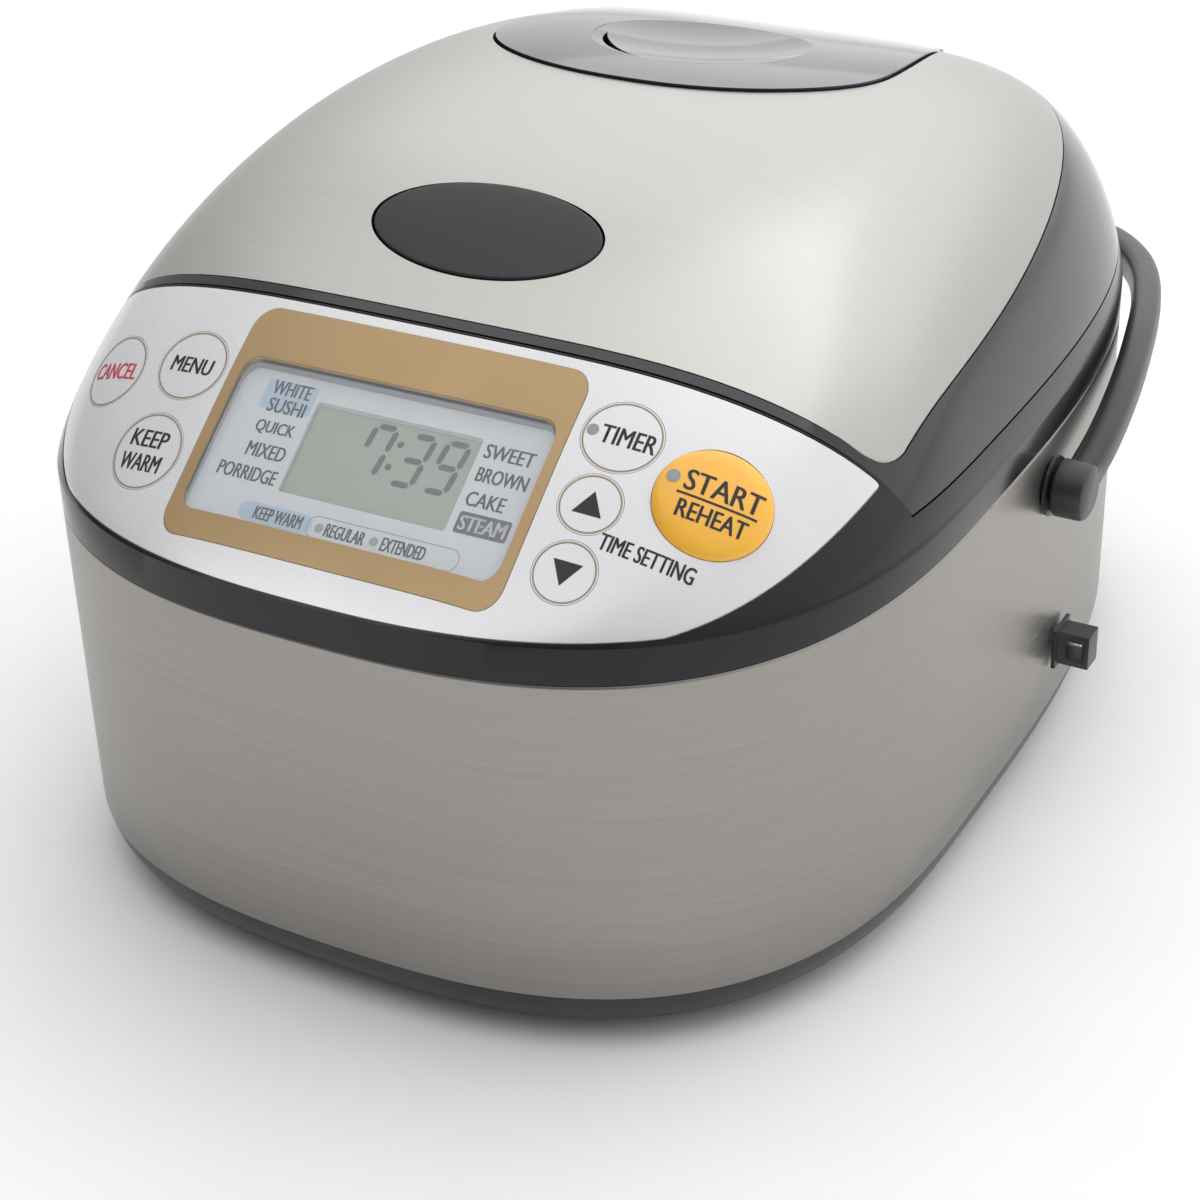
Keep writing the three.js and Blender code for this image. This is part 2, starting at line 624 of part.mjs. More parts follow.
function carryHandle() {
  const rightHalf = [[137, handlePivot.y, handlePivot.z], [137, 78, 104.6], [134, 105, 109], [128.6, 133, 111],
    [121.6, 161, 110.5], [113, 186, 109], [102.5, 206, 107], [88, 223, 105], [66, 234, 104], [32, 238.4, 104]];
  const middle = [0, 239, 104];
  const leftHalf = rightHalf.map(([x, y, z]) => [-x, y, z]);
  const path = [...leftHalf, middle, ...rightHalf.slice().reverse()]
    .map((point) => new THREE.Vector3(...point));
  let bail = tubeAlong(path, handleWidth / 2, handleDepth / 2, 8, 34);
  for (const side of [-1, 1]) {
    const [inner, outer] = [side * 132, side * 142];
    bail = bail.add(acrossPivot(handlePivot.lobe, inner, outer));
    bail = bail.subtract(acrossPivot(handlePivot.stud + gap, side * 125, side * 139.3));
  }
  return bail;
}

function handlePivotStud(side) {
  const { shank, stud } = handlePivot;
  const flange = 9;
  const profile = [[0, 118], [shank, 118], [shank, 130.4], [flange, 130.4], [flange, 131.3],
    [stud, 131.3], [stud, 139], [0, 139]];
  const geometry = new THREE.LatheGeometry(profile.map(([r, x]) => new THREE.Vector2(r, x)), 16);
  geometry.rotateZ(side > 0 ? -Math.PI / 2 : Math.PI / 2);
  geometry.translate(0, handlePivot.y, handlePivot.z);
  return outwardSolid(geometry);
}

function spoonBracket() {
  const foot = boxBetween([130.4, 64, 30], [132, 80, 46]);
  const hole = boxBetween([133.8, 60, 34.5], [139.2, 90, 41.5]);
  const loop = boxBetween([131.5, 67, 31], [141.5, 77, 45]).subtract(hole);
  return foot.add(loop);
}

function latchHook() {
  const blade = slabAlongX([[-59, 152], [-59, 126.5], [-62, 125.5], [-62.2, 123.4], [-58, 121.6], [-56, 122.5],
    [-56, 152], [-54.6, 154.5], [-57.5, 157], [-60.4, 154.5]], -9, 9);
  return blade.subtract(rod(1.8, [-20, -57.5, 153.6], [20, -57.5, 153.6], 16));
}

// Round pieces under the pot, all on the pot's axis; sections are [radius, height] points.
function innerChamber() {
  const top = deck.low - gap;
  return turned([[18, 19.8], [96, 19.8], [102, 26], [102, top], [100.8, top], [100.8, 26.5], [95.5, 21],
    [18, 21], [18, 19.8]], 0, pot.y, 28);
}

function heatingPlate() {
  return turned([[16, 29], [60, 29], [60, 21.4], [66, 21.4], [66, 29], [78, 29], [80, 31], [80, 35.6],
    [16, 35.6], [16, 29]], 0, pot.y, 24);
}

function innerPot() {
  const { radius, wall, bottom, rim, rimLow, rimHigh } = pot;
  return turned([[0, bottom], [78, bottom], [88, 38.5], [95, 45], [radius, 55], [radius, rimLow],
    [rim, rimLow], [rim, rimHigh], [radius - wall, rimHigh], [radius - wall, 55.4],
    [93.6, 46], [87.2, 40], [77.8, bottom + wall], [0, bottom + wall]], 0, pot.y, 36);
}

function lidGasket() {
  return turned([[97.4, 134.4], [100.4, 133.1], [103.6, 134.6], [103.6, 141.4], [97.4, 141.4], [97.4, 134.4]],
    0, pot.y, 28);
}

function cordOutlet() {
  const block = boxBetween([-20, 217.2, 30], [20, 223.6, 56]);
  const plugRecess = boxBetween([-13, 220, 36], [13, 230, 50]);
  const cordHole = boxBetween([-6, 210, 40], [6, 230, 46]);
  return block.subtract(plugRecess).subtract(cordHole);
}

function latchCatch() {
  const upper = boxBetween([-12, -64.6, 125], [12, -63.6, deck.low - gap]);
  return upper.add(boxBetween([-12, -64.6, 118], [12, -63.6, 125.5]));
}

// ---- Assembly ----
const cooker = new THREE.Group();
function addPart(name, solid, look) {
  const mesh = new THREE.Mesh(toGeometry(solid), look);
  mesh.name = name;
  cooker.add(mesh);
}

function addLowerBody() {
  const footProfile = [[0, 0], [8.5, 0], [9.5, 0.8], [9.5, footHeight - gap], [0, footHeight - gap]];
  const screwProfile = [[0, 1.3], [2.6, 1.3], [3.4, 2], [3.4, 2.7], [1.7, 2.7], [1.7, 12], [0, 12]];
  addPart('base_tray', baseTray(), blackPlastic);
  footPlaces.forEach(([x, y], place) => {
    addPart(`foot_${place + 1}`, turned(footProfile, x, y, 12), darkRubber);
  });
  screwPlaces.forEach(([x, y], place) => {
    addPart(`base_screw_${place + 1}`, turned(screwProfile, x, y, 8), zincSteel);
  });
  addPart('side_wrap', steelWrap(), brushedSteel);
  addPart('upper_frame', upperFrame(), glossBlack);
  addPart('cord_outlet', cordOutlet(), blackPlastic);
  addPart('latch_catch', latchCatch(), zincSteel);
  addPart('hinge_pin', hingeAxis(hinge.pinRadius, 58, 24), zincSteel);
  addPart('handle_pivot_left', handlePivotStud(-1), blackPlastic);
  addPart('handle_pivot_right', handlePivotStud(1), blackPlastic);
  addPart('spoon_bracket', spoonBracket(), blackPlastic);
}

function addControls() {
  const lcdTop = cardDepth + 1.2 + gap;
  addPart('control_panel', controlPanel(), pearlPlastic);
  addPart('display_bezel', displayBezel(), goldFilm);
  addPart('display_window', panelSlice(0.3, 1.3, rectangleRegion(windowHole, -gap)), clearPlastic);
  addPart('display_card', displayCard(), cardPlastic);
  addPart('lcd_module', panelSlice(lcdTop, cardDepth + 5, rectangleRegion(lcd, 2)), lcdGlass);
  addPart('control_board', panelSlice(13, 14.6, roundedRectangle(72, -104, -76, 2)), boardGreen);
  addPart('power_board', boxBetween([-45, -118, 42], [45, -116.2, 98]), boardGreen);
  for (const key of keys) addPart(key.name, keySolid(key), key.crown ? amberPlastic : pearlPlastic);
}

function addCookingParts() {
  const heaterProfile = [[102.4, 62], [103.6, 62], [103.6, 88], [102.4, 88], [102.4, 62]];
  const sensorProfile = [[0, 24], [9, 24], [9, 27], [14, 27], [14, 35], [13.3, 35.7], [0, 35.7]];
  const housingProfile = [[0, 22], [29, 22], [29, 52], [27.2, 52], [27.2, 23.8], [0, 23.8]];
  const drumProfile = [[0, 24.2], [26, 24.2], [26, 26], [11, 26], [11, 48], [26, 48], [26, 50], [0, 50]];
  addPart('inner_chamber', innerChamber(), aluminium);
  addPart('side_heater', turned(heaterProfile, 0, pot.y, 28), zincSteel);
  addPart('heating_plate', heatingPlate(), aluminium);
  addPart('thermal_sensor', turned(sensorProfile, 0, pot.y, 16), aluminium);
  addPart('sensor_spring', coilSpring([0, pot.y], 7, 0.8, 6.4, 23.6, 5), zincSteel);
  addPart('inner_pot', innerPot(), potCoating);
  addPart('cord_reel_housing', turned(housingProfile, 0, reelY, 24), blackPlastic);
  addPart('cord_reel_drum', turned(drumProfile, 0, reelY, 20), blackPlastic);
}

function addLid() {
  const ductProfile = [[8, 144.3], [9.6, 144.3], [9.6, 188], [8, 188], [8, 144.3]];
  const innerLidProfile = [[9, 137.4], [84, 137.4], [97, 139], [97, 140.2], [84, 138.6],
    [9, 138.6], [9, 137.4]];
  const buttonProfile = [[0, -button.thickness], [1, -button.thickness], [1, -1], [0.93, 0],
    [0.6, 0.6], [0, 0.9]];
  const buttonCap = ovalCrown(buttonFrame, button.halfWidth, button.halfDepth, buttonProfile, 32);
  addPart('lid_shell', lidShell(), glossBlack);
  addPart('lid_plate', lidPlate(), lidSteel);
  addPart('lid_inner_cover', lidInnerCover(), blackPlastic);
  addPart('steam_duct', turned(ductProfile, 0, steamHole.y, 16), greyRubber);
  addPart('inner_lid', turned(innerLidProfile, 0, pot.y, 28), aluminium);
  addPart('lid_gasket', lidGasket(), greyRubber);
  addPart('steam_vent_cap', steamVentCap(), glossBlack);
  addPart('steam_vent_base', steamVentBase(), blackPlastic);
  addPart('lid_button', buttonCap, blackPlastic);
  addPart('button_spring', coilSpring([0, button.y], 6, 0.7, 144.4, 174.2, 6), zincSteel);
  addPart('latch_hook', latchHook(), blackPlastic);
}

addLowerBody();
addControls();
addCookingParts();
addLid();
addPart('carry_handle', carryHandle(), blackPlastic);

// Stand the group on the floor with its bounding box centred on the origin.
const bounds = new THREE.Box3().setFromObject(cooker);
cooker.position.set(-(bounds.min.x + bounds.max.x) / 2, -(bounds.min.y + bounds.max.y) / 2, -bounds.min.z);

export default cooker;
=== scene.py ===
"""Looks for a countertop rice cooker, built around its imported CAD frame.

Shapes are worked out in millimetres with the front towards -Y and y = 0 at the widest line of
the body, then moved into the frame's metres by place().
"""
import math

import bmesh
import bpy
from mathutils import Matrix, Vector


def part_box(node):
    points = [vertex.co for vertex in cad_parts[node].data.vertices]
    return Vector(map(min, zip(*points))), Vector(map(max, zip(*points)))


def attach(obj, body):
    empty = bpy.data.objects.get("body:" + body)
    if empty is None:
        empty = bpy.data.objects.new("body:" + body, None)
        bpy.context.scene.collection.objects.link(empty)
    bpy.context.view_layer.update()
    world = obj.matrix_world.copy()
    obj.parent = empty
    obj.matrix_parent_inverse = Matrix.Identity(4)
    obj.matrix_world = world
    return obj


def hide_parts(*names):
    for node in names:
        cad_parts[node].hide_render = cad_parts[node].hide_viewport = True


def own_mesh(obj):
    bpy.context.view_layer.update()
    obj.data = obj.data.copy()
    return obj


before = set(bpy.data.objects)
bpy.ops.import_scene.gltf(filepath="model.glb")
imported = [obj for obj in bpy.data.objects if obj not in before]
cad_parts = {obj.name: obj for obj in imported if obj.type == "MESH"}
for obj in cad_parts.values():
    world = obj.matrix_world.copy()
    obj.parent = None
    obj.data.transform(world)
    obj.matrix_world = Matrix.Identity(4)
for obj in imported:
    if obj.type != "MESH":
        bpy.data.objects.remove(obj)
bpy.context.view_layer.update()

MM = 0.001
LEVEL_AREA = 4.0  # level faces larger than this, in square millimetres, are shaded flat
FOLLOWS_DOME = 24  # faces within this angle of the dome's slope, in degrees, take that slope
PRINT_STEP = 1.2  # longer edges of a print are split, up to three times, before it is laid on a surface
STROKE = 0.13  # how far each letter is widened to each side

# ---- Driving dimensions, in millimetres ----
BODY = dict(half_width=130.0, front=132.8, rear=222.0, front_power=2.69, rear_power=3.18)
DOME = dict(base=123.4, peak=204.8, peak_y=51.5, front=(2.41, 1.282), rear=(1.85, 0.457), side=(4.99, 0.775))
PARTING = dict(centre_y=-65.0, rise=19.0, half_span=120.0, power=6)
PANEL = dict(half_width=121.5, front=132.4, power=2.95, thickness=1.8, low=121.6, half_span=119, gap=0.6)
PANEL_RIM = 0.9  # the black frame shows as a thin rim round the panel's front edge
STEEL_LOW, STEEL_HIGH, STEEL_SHEET = 17.0, 114.0, 1.15
DECK_LOW, DECK_HIGH = 128.0, 131.0
SEAM_BODY, SEAM_LID = 132.7, 133.3
PLATE = dict(front_margin=3.2, half_width=120.5, middle_y=-20.0, reach=222.0, power=2.6, rear=168.0)
SHELL_WALL = 4.2
VENT = dict(middle_y=88.0, half_width=62.5, front=44.0, power=2.3, rear=171.0, taper=10.5, reach=62.0)
DISH = dict(y=92.8, radius=33.9, depth=3.6, tilt=-0.11, slot=30.4)
BUTTON = dict(y=-35.5, half_width=34.5, half_depth=16.6, tilt=0.43, thickness=9.0)
BEZEL = dict(half_width=50.9, low=-123.3, high=-68.2, corner=6.0)
WINDOW = dict(half_width=47.8, low=-117.0, high=-80.6, corner=4.5)
HINGE_Y, HINGE_Z, TROUGH, HINGE_BORE = 203.0, 137.0, 20.5, 2.8
EAR_X, LUG_X, EAR_WIDTH = 50, 44.5, 4
POT_Y, DECK_HOLE = 55.0, 99.0
PIVOT_Y, PIVOT_Z = 55.0, 99.0
HANDLE = dict(half_width=4.7, half_height=5.9, power=0.72, stud_hole=4.3)
STEAM_Y = 85.0
CARD_DEPTH = 3.6  # the printed card lies flat, this far below the window at its top and bottom

KEYS = [
    ("key_cancel", -90.6, -84.8, 11.6, 11.2),
    ("key_menu", -63.6, -85.2, 11.0, 10.6),
    ("key_keep_warm", -65.3, -106.0, 11.2, 11.4),
    ("key_timer", 64.5, -80.1, 10.9, 9.9),
    ("key_up", 63.6, -95.5, 8.5, 8.2),
    ("key_down", 64.0, -110.0, 8.5, 8.5),
    ("key_start", 91.5, -84.0, 15.2, 14.2),
]

quality = 1.0
OUTLINE_STEPS = int(288 * quality)
DOME_STEPS = int(40 * quality)
ROUND_STEPS = int(160 * quality)

SHIFT_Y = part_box("side_wrap")[0][1] / MM + BODY["front"]


def place(point):
    return Vector((point[0] * MM, (point[1] + SHIFT_Y) * MM, point[2] * MM))


# ---- The plan outline and the dome ----
def superellipse(angle, half_width, depth, power):
    across = abs(math.cos(angle)) / half_width
    along = abs(math.sin(angle)) / depth
    reach = (across ** power + along ** power) ** (-1 / power)
    return reach * math.cos(angle), reach * math.sin(angle)


def body_end(in_front, inset):
    """The outline's depth and power in front of its widest line, or behind it."""
    if in_front:
        return BODY["front"] - inset, BODY["front_power"]
    return BODY["rear"] - inset, BODY["rear_power"]


def outline_point(angle, inset):
    depth, power = body_end(math.sin(angle) < 0, inset)
    return superellipse(angle, BODY["half_width"] - inset, depth, power)


def outline_ring(inset):
    return [outline_point(2 * math.pi * step / OUTLINE_STEPS, inset) for step in range(OUTLINE_STEPS)]


def half_width_at(y, inset):
    depth, power = body_end(y < 0, inset)
    return (BODY["half_width"] - inset) * max(1 - (abs(y) / depth) ** power, 0) ** (1 / power)


def dome_height(x, y, inset=0.0):
    ahead = y < DOME["peak_y"]
    power, root = DOME["front"] if ahead else DOME["rear"]
    reach = DOME["peak_y"] + BODY["front"] - inset if ahead else BODY["rear"] - inset - DOME["peak_y"]
    ridge = max(1 - (abs(y - DOME["peak_y"]) / reach) ** power, 0) ** root
    half_width = max(half_width_at(y, inset), 1e-6)
    section = max(1 - min(abs(x) / half_width, 1) ** DOME["side"][0], 0) ** DOME["side"][1]
    return DOME["base"] + (DOME["peak"] - DOME["base"] - inset) * ridge * section


def dome_normal(x, y, inset=0.0):
    reach = 0.4
    slope_x = (dome_height(x + reach, y, inset) - dome_height(x - reach, y, inset)) / (2 * reach)
    slope_y = (dome_height(x, y + reach, inset) - dome_height(x, y - reach, inset)) / (2 * reach)
    return Vector((-slope_x, -slope_y, 1)).normalized()


def parting_y(x):
    return PARTING["centre_y"] + PARTING["rise"] * (abs(x) / PARTING["half_span"]) ** PARTING["power"]


# ---- Meshes and booleans ----
def add_object(name, data):
    thing = bpy.data.objects.new(name, data)
    bpy.context.scene.collection.objects.link(thing)
    return thing


def new_object(name, vertices, faces):
    mesh = bpy.data.meshes.new(name)
    mesh.from_pydata(vertices, [], faces)
    mesh.update()
    return add_object(name, mesh)


def evaluated_mesh(thing):
    """The object's mesh with its modifiers applied, or a text object's letters as a mesh."""
    graph = bpy.context.evaluated_depsgraph_get()
    return bpy.data.meshes.new_from_object(thing.evaluated_get(graph))


def band_faces(levels, count, closed=False):
    """Four-sided faces between neighbouring rings of points, and from last to first if closed."""
    faces = []
    for level in range(levels if closed else levels - 1):
        below, above = level * count, (level + 1) % levels * count
        for step in range(count):
            after = (step + 1) % count
            faces.append((below + step, below + after, above + after, above + step))
    return faces


def cap_faces(levels, count):
    """One flat face on the first ring and one on the last."""
    return [tuple(range(count - 1, -1, -1)), tuple(range((levels - 1) * count, levels * count))]


def fan_faces(levels, count):
    """Three-sided faces from the first and last rings to two end points that follow the rings."""
    last, start = (levels - 1) * count, levels * count
    faces = []
    for step in range(count):
        after = (step + 1) % count
        faces.append((after, step, start))
        faces.append((last + step, last + after, start + 1))
    return faces


def face_outward(thing):
    shape = bmesh.new()
    shape.from_mesh(thing.data)
    bmesh.ops.recalc_face_normals(shape, faces=shape.faces)
    if shape.calc_volume(signed=True) < 0:
        bmesh.ops.reverse_faces(shape, faces=shape.faces)
    shape.to_mesh(thing.data)
    shape.free()
    return thing


def combine(target, tool, operation):
    """Joins, cuts or intersects target with tool, and deletes tool."""
    modifier = target.modifiers.new("combine", "BOOLEAN")
    modifier.operation = operation
    modifier.solver = "MANIFOLD"
    modifier.object = tool
    result = evaluated_mesh(target)
    target.modifiers.clear()
    target.data = result
    bpy.data.objects.remove(tool)
    return target


def cut(target, tool):
    return combine(target, tool, "DIFFERENCE")


def common(target, tool):
    return combine(target, tool, "INTERSECT")


def join(target, tool):
    return combine(target, tool, "UNION")


def ring_solid(name, rings, start, end):
    levels, count = len(rings), len(rings[0])
    vertices = [tuple(point) for ring in rings for point in ring] + [start, end]
    faces = band_faces(levels, count) + fan_faces(levels, count)
    return face_outward(new_object(name, vertices, faces))


def prism(points, low, high):
    count = len(points)
    vertices = [(x, y, low) for x, y in points] + [(x, y, high) for x, y in points]
    return face_outward(new_object("prism", vertices, cap_faces(2, count) + band_faces(2, count)))


def slab_along_x(points, low, high):
    """An outline in the YZ plane, given as (y, z), drawn out along X."""
    thing = prism(points, low, high)
    thing.data.transform(Matrix(((0, 0, 1, 0), (1, 0, 0, 0), (0, 1, 0, 0), (0, 0, 0, 1))))
    return face_outward(thing)


def box(low, high):
    corners = [(low[0], low[1]), (high[0], low[1]), (high[0], high[1]), (low[0], high[1])]
    return prism(corners, low[2], high[2])


def outline_prism(inset, low, high):
    return prism(outline_ring(inset), low, high)


def dome_solid(inset, floor):
    rim = outline_ring(inset)
    rings = [[(x, y, floor) for x, y in rim]]
    for step in range(DOME_STEPS, 0, -1):
        share = 1 - (1 - step / DOME_STEPS) ** 1.9
        ring = []
        for x, y in rim:
            px, py = x * share, DOME["peak_y"] + (y - DOME["peak_y"]) * share
            ring.append((px, py, DOME["base"] if step == DOME_STEPS else dome_height(px, py, inset)))
        rings.append(ring)
    middle = DOME["peak_y"]
    return ring_solid("dome", rings, (0, middle, floor), (0, middle, dome_height(0, middle, inset)))


def turned(name, profile, centre_x, centre_y, steps=96, closed=False):
    """A solid turned on a vertical axis; its outline closes on itself or runs from axis to axis."""
    vertices = []
    for radius, height in profile:
        for step in range(steps):
            angle = 2 * math.pi * step / steps
            x, y = radius * math.cos(angle), radius * math.sin(angle)
            vertices.append((centre_x + x, centre_y + y, height))
    thing = new_object(name, vertices, band_faces(len(profile), steps, closed))
    shape = bmesh.new()
    shape.from_mesh(thing.data)
    bmesh.ops.remove_doubles(shape, verts=shape.verts, dist=1e-4)
    bmesh.ops.dissolve_degenerate(shape, edges=shape.edges, dist=1e-5)
    shape.to_mesh(thing.data)
    shape.free()
    return face_outward(thing)


def rod(radius, start, end, steps=64):
    along = Vector(end) - Vector(start)
    thing = turned("rod", [(0, 0), (radius, 0), (radius, along.length), (0, along.length)], 0, 0, steps)
    turn = Vector((0, 0, 1)).rotation_difference(along.normalized()).to_matrix().to_4x4()
    thing.data.transform(Matrix.Translation(start) @ turn)
    return thing


def hinge_rod(radius, low, high, steps=64):
    """A rod along the hinge's axis, from x = low to x = high."""
    return rod(radius, (low, HINGE_Y, HINGE_Z), (high, HINGE_Y, HINGE_Z), steps)


def finish_shape(thing, name, analytic=False, crease=32, bevel=0.0, inset=0.0, dished=False):
    """Moves a solid into the frame, smooths it by angle and gives dome faces their exact normals."""
    thing.name = thing.data.name = name
    if bevel:
        modifier = thing.modifiers.new("bevel", "BEVEL")
        modifier.width = bevel
        modifier.segments = 2
        modifier.limit_method = "ANGLE"
        modifier.angle_limit = math.radians(crease + 8)
        modifier.use_clamp_overlap = True
        result = evaluated_mesh(thing)
        thing.modifiers.clear()
        thing.data = result
    mesh = thing.data
    mesh.shade_smooth()
    mesh.set_sharp_from_angle(angle=math.radians(crease))
    give_exact_normals(mesh, analytic, inset, dished)
    mesh.transform(Matrix.Translation((0, SHIFT_Y * MM, 0)) @ Matrix.Scale(MM, 4))
    mesh.update()
    return thing


def give_exact_normals(mesh, on_dome, inset, dished):
    """Level faces are shaded flat, and faces that follow the dome, outside a dish, take its true slope."""
    near = math.cos(math.radians(FOLLOWS_DOME))
    corners = [tuple(normal.vector) for normal in mesh.corner_normals]
    for face in mesh.polygons:
        level = abs(face.normal.z) > 0.9999 and face.area > LEVEL_AREA
        if dished and math.hypot(face.center.x, face.center.y - DISH["y"]) < DISH["radius"] - 0.2:
            continue
        for loop in face.loop_indices:
            x, y, z = mesh.vertices[mesh.loops[loop].vertex_index].co
            if level:
                corners[loop] = tuple(face.normal)
            elif on_dome and z > DOME["base"] + 0.5:
                slope = dome_normal(x, y, inset)
                if abs(face.normal.dot(slope)) > near:
                    corners[loop] = tuple(slope if face.normal.dot(slope) > 0 else -slope)
    mesh.normals_split_custom_set(corners)


# ---- Plan shapes ----
def parting_line(offset):
    span = [-135 + 270 * i / 90 for i in range(91)]
    return [(x, parting_y(x) + offset) for x in span]


def lid_region(offset):
    return parting_line(offset) + [(150, 260), (-150, 260)]


def panel_region(inset):
    points = []
    for step in range(151):
        angle = math.pi + math.pi * step / 150
        x, y = superellipse(angle, PANEL["half_width"] - inset, PANEL["front"] - inset, PANEL["power"])
        if y < parting_y(x) - PANEL["gap"] - inset:
            points.append((x, y))
    for step in range(81):
        x = (PANEL["half_span"] - inset) * (1 - 2 * step / 80)
        points.append((x, parting_y(x) - PANEL["gap"] - inset))
    return points


def rounded_rectangle(part, grow=0.0):
    half, low, high = part["half_width"] + grow, part["low"] - grow, part["high"] + grow
    middle = part.get("middle", 0.0)
    corner = max(part["corner"] + grow, 0.5)
    centres = [(middle + half - corner, high - corner), (middle - half + corner, high - corner),
               (middle - half + corner, low + corner), (middle + half - corner, low + corner)]
    points = []
    for quarter, (x, y) in enumerate(centres):
        for step in range(9):
            angle = (quarter + step / 8) * math.pi / 2
            points.append((x + corner * math.cos(angle), y + corner * math.sin(angle)))
    dense = []
    for index, (x, y) in enumerate(points):
        next_x, next_y = points[(index + 1) % len(points)]
        pieces = max(int(math.dist((x, y), (next_x, next_y)) / 3), 1)
        dense += [(x + (next_x - x) * i / pieces, y + (next_y - y) * i / pieces) for i in range(pieces)]
    return dense


def mirrored(right_half):
    return right_half + [(-x, y) for x, y in reversed(right_half[1:])]


def plate_side(y, grow):
    share = abs(y - PLATE["middle_y"]) / PLATE["reach"]
    return grow + PLATE["half_width"] * (1 - share ** PLATE["power"]) ** (1 / PLATE["power"])


def bend(start, knee, end, first, steps):
    """Points on the curve that leaves start towards knee and reaches end from it."""
    points = []
    for step in range(first, steps + 1):
        t = step / steps
        pairs = zip(start, knee, end)
        points.append(tuple((1 - t) ** 2 * a + 2 * t * (1 - t) * b + t * t * c for a, b, c in pairs))
    return points


def plate_region(grow):
    margin = PLATE["front_margin"] - grow
    right = [(x, parting_y(x) + margin) for x in range(0, 113, 4)]
    right += bend(right[-1], (119.5 + grow, -45.2 - grow * 0.5), (plate_side(-34, grow), -34.0), 1, 10)
    y = -30.0
    while y < PLATE["rear"] - 12:
        right.append((plate_side(y, grow), y))
        y += 4
    start = (plate_side(PLATE["rear"] - 10, grow), PLATE["rear"] - 10)
    knee = (plate_side(PLATE["rear"], grow), PLATE["rear"] + grow)
    right += bend(start, knee, (knee[0] - 12, PLATE["rear"] + grow), 0, 8)
    return mirrored(right)


def vent_region(grow):
    right = []
    for step in range(41):
        angle = step / 40 * math.pi / 2
        right.append(((VENT["half_width"] + grow) * math.sin(angle) ** (2 / VENT["power"]),
                      VENT["middle_y"] - (VENT["front"] + grow) * math.cos(angle) ** (2 / VENT["power"])))
    y = VENT["middle_y"] + 4
    while y < VENT["rear"] - 8:
        taper = VENT["taper"] * ((y - VENT["middle_y"]) / VENT["reach"]) ** 1.6
        right.append((grow + VENT["half_width"] - taper, y))
        y += 4
    x, y = right[-1]
    for step in range(1, 7):
        angle = step / 6 * math.pi / 2
        right.append((x - 8 * (1 - math.cos(angle)), y + (VENT["rear"] + grow - y) * math.sin(angle)))
    right.append((0.0, VENT["rear"] + grow))
    return right + [(-x, y) for x, y in reversed(right[1:-1])]


def surface_frame(x, y):
    normal = dome_normal(x, y)
    across = (Vector((1, 0, 0)) - normal * normal.x).normalized()
    along = normal.cross(across)
    turn = Matrix((across, along, normal)).transposed().to_4x4()
    return Matrix.Translation((x, y, dome_height(x, y))) @ turn


def oval(matrix, across, along, profile, steps=96):
    """A turned solid squashed to an oval; profile is (share of radius, height)."""
    thing = turned("oval", profile, 0, 0, steps)
    thing.data.transform(matrix @ Matrix.Diagonal((across, along, 1, 1)))
    return face_outward(thing)


def plug(matrix, across, along, low, high, steps=96):
    return oval(matrix, across, along, [(0, low), (1, low), (1, high), (0, high)], steps)


BUTTON_TOP = Matrix.Translation((0, BUTTON["y"], dome_height(0, BUTTON["y"])))
BUTTON_FRAME = BUTTON_TOP @ Matrix.Rotation(BUTTON["tilt"], 4, "X")


# ---- Materials ----
LOOKS = {}


def fresh_material(name):
    made = bpy.data.materials.new(name)
    made.use_nodes = True
    LOOKS[name] = made
    nodes = made.node_tree.nodes
    return nodes, made.node_tree.links, nodes["Principled BSDF"]


def object_coordinates(nodes, links, scale):
    source = nodes.new("ShaderNodeTexCoord")
    mapping = nodes.new("ShaderNodeMapping")
    mapping.inputs["Scale"].default_value = scale
    links.new(source.outputs["Object"], mapping.inputs["Vector"])
    return mapping.outputs["Vector"]


def noise(nodes, links, vector, scale, detail=4.0):
    made = nodes.new("ShaderNodeTexNoise")
    made.inputs["Scale"].default_value = scale
    made.inputs["Detail"].default_value = detail
    links.new(vector, made.inputs["Vector"])
    return made.outputs["Fac"]


def remapped(nodes, links, value, *limits):
    made = nodes.new("ShaderNodeMapRange")
    for name, limit in zip(("From Min", "From Max", "To Min", "To Max"), limits):
        made.inputs[name].default_value = limit
    links.new(value, made.inputs["Value"])
    return made.outputs["Result"]


def between(nodes, links, factor, low, high):
    return remapped(nodes, links, factor, 0.25, 0.75, low, high)


def multiplied(nodes, links, value, factor, added=None):
    made = nodes.new("ShaderNodeMath")
    made.operation = "MULTIPLY_ADD" if added else "MULTIPLY"
    made.inputs[1].default_value = factor
    links.new(value, made.inputs[0])
    if added:
        links.new(added, made.inputs[2])
    return made.outputs[0]


def tinted(nodes, links, factor, dark, light):
    ramp = nodes.new("ShaderNodeValToRGB")
    for stop, place_on_ramp, colour in zip(ramp.color_ramp.elements, (0.3, 0.7), (dark, light)):
        stop.position = place_on_ramp
        stop.color = (*colour, 1)
    links.new(factor, ramp.inputs["Fac"])
    return ramp.outputs["Color"]


def bumped(nodes, links, shader, factor, strength, distance):
    bump = nodes.new("ShaderNodeBump")
    bump.inputs["Strength"].default_value = strength
    bump.inputs["Distance"].default_value = distance
    links.new(factor, bump.inputs["Height"])
    links.new(bump.outputs["Normal"], shader.inputs["Normal"])


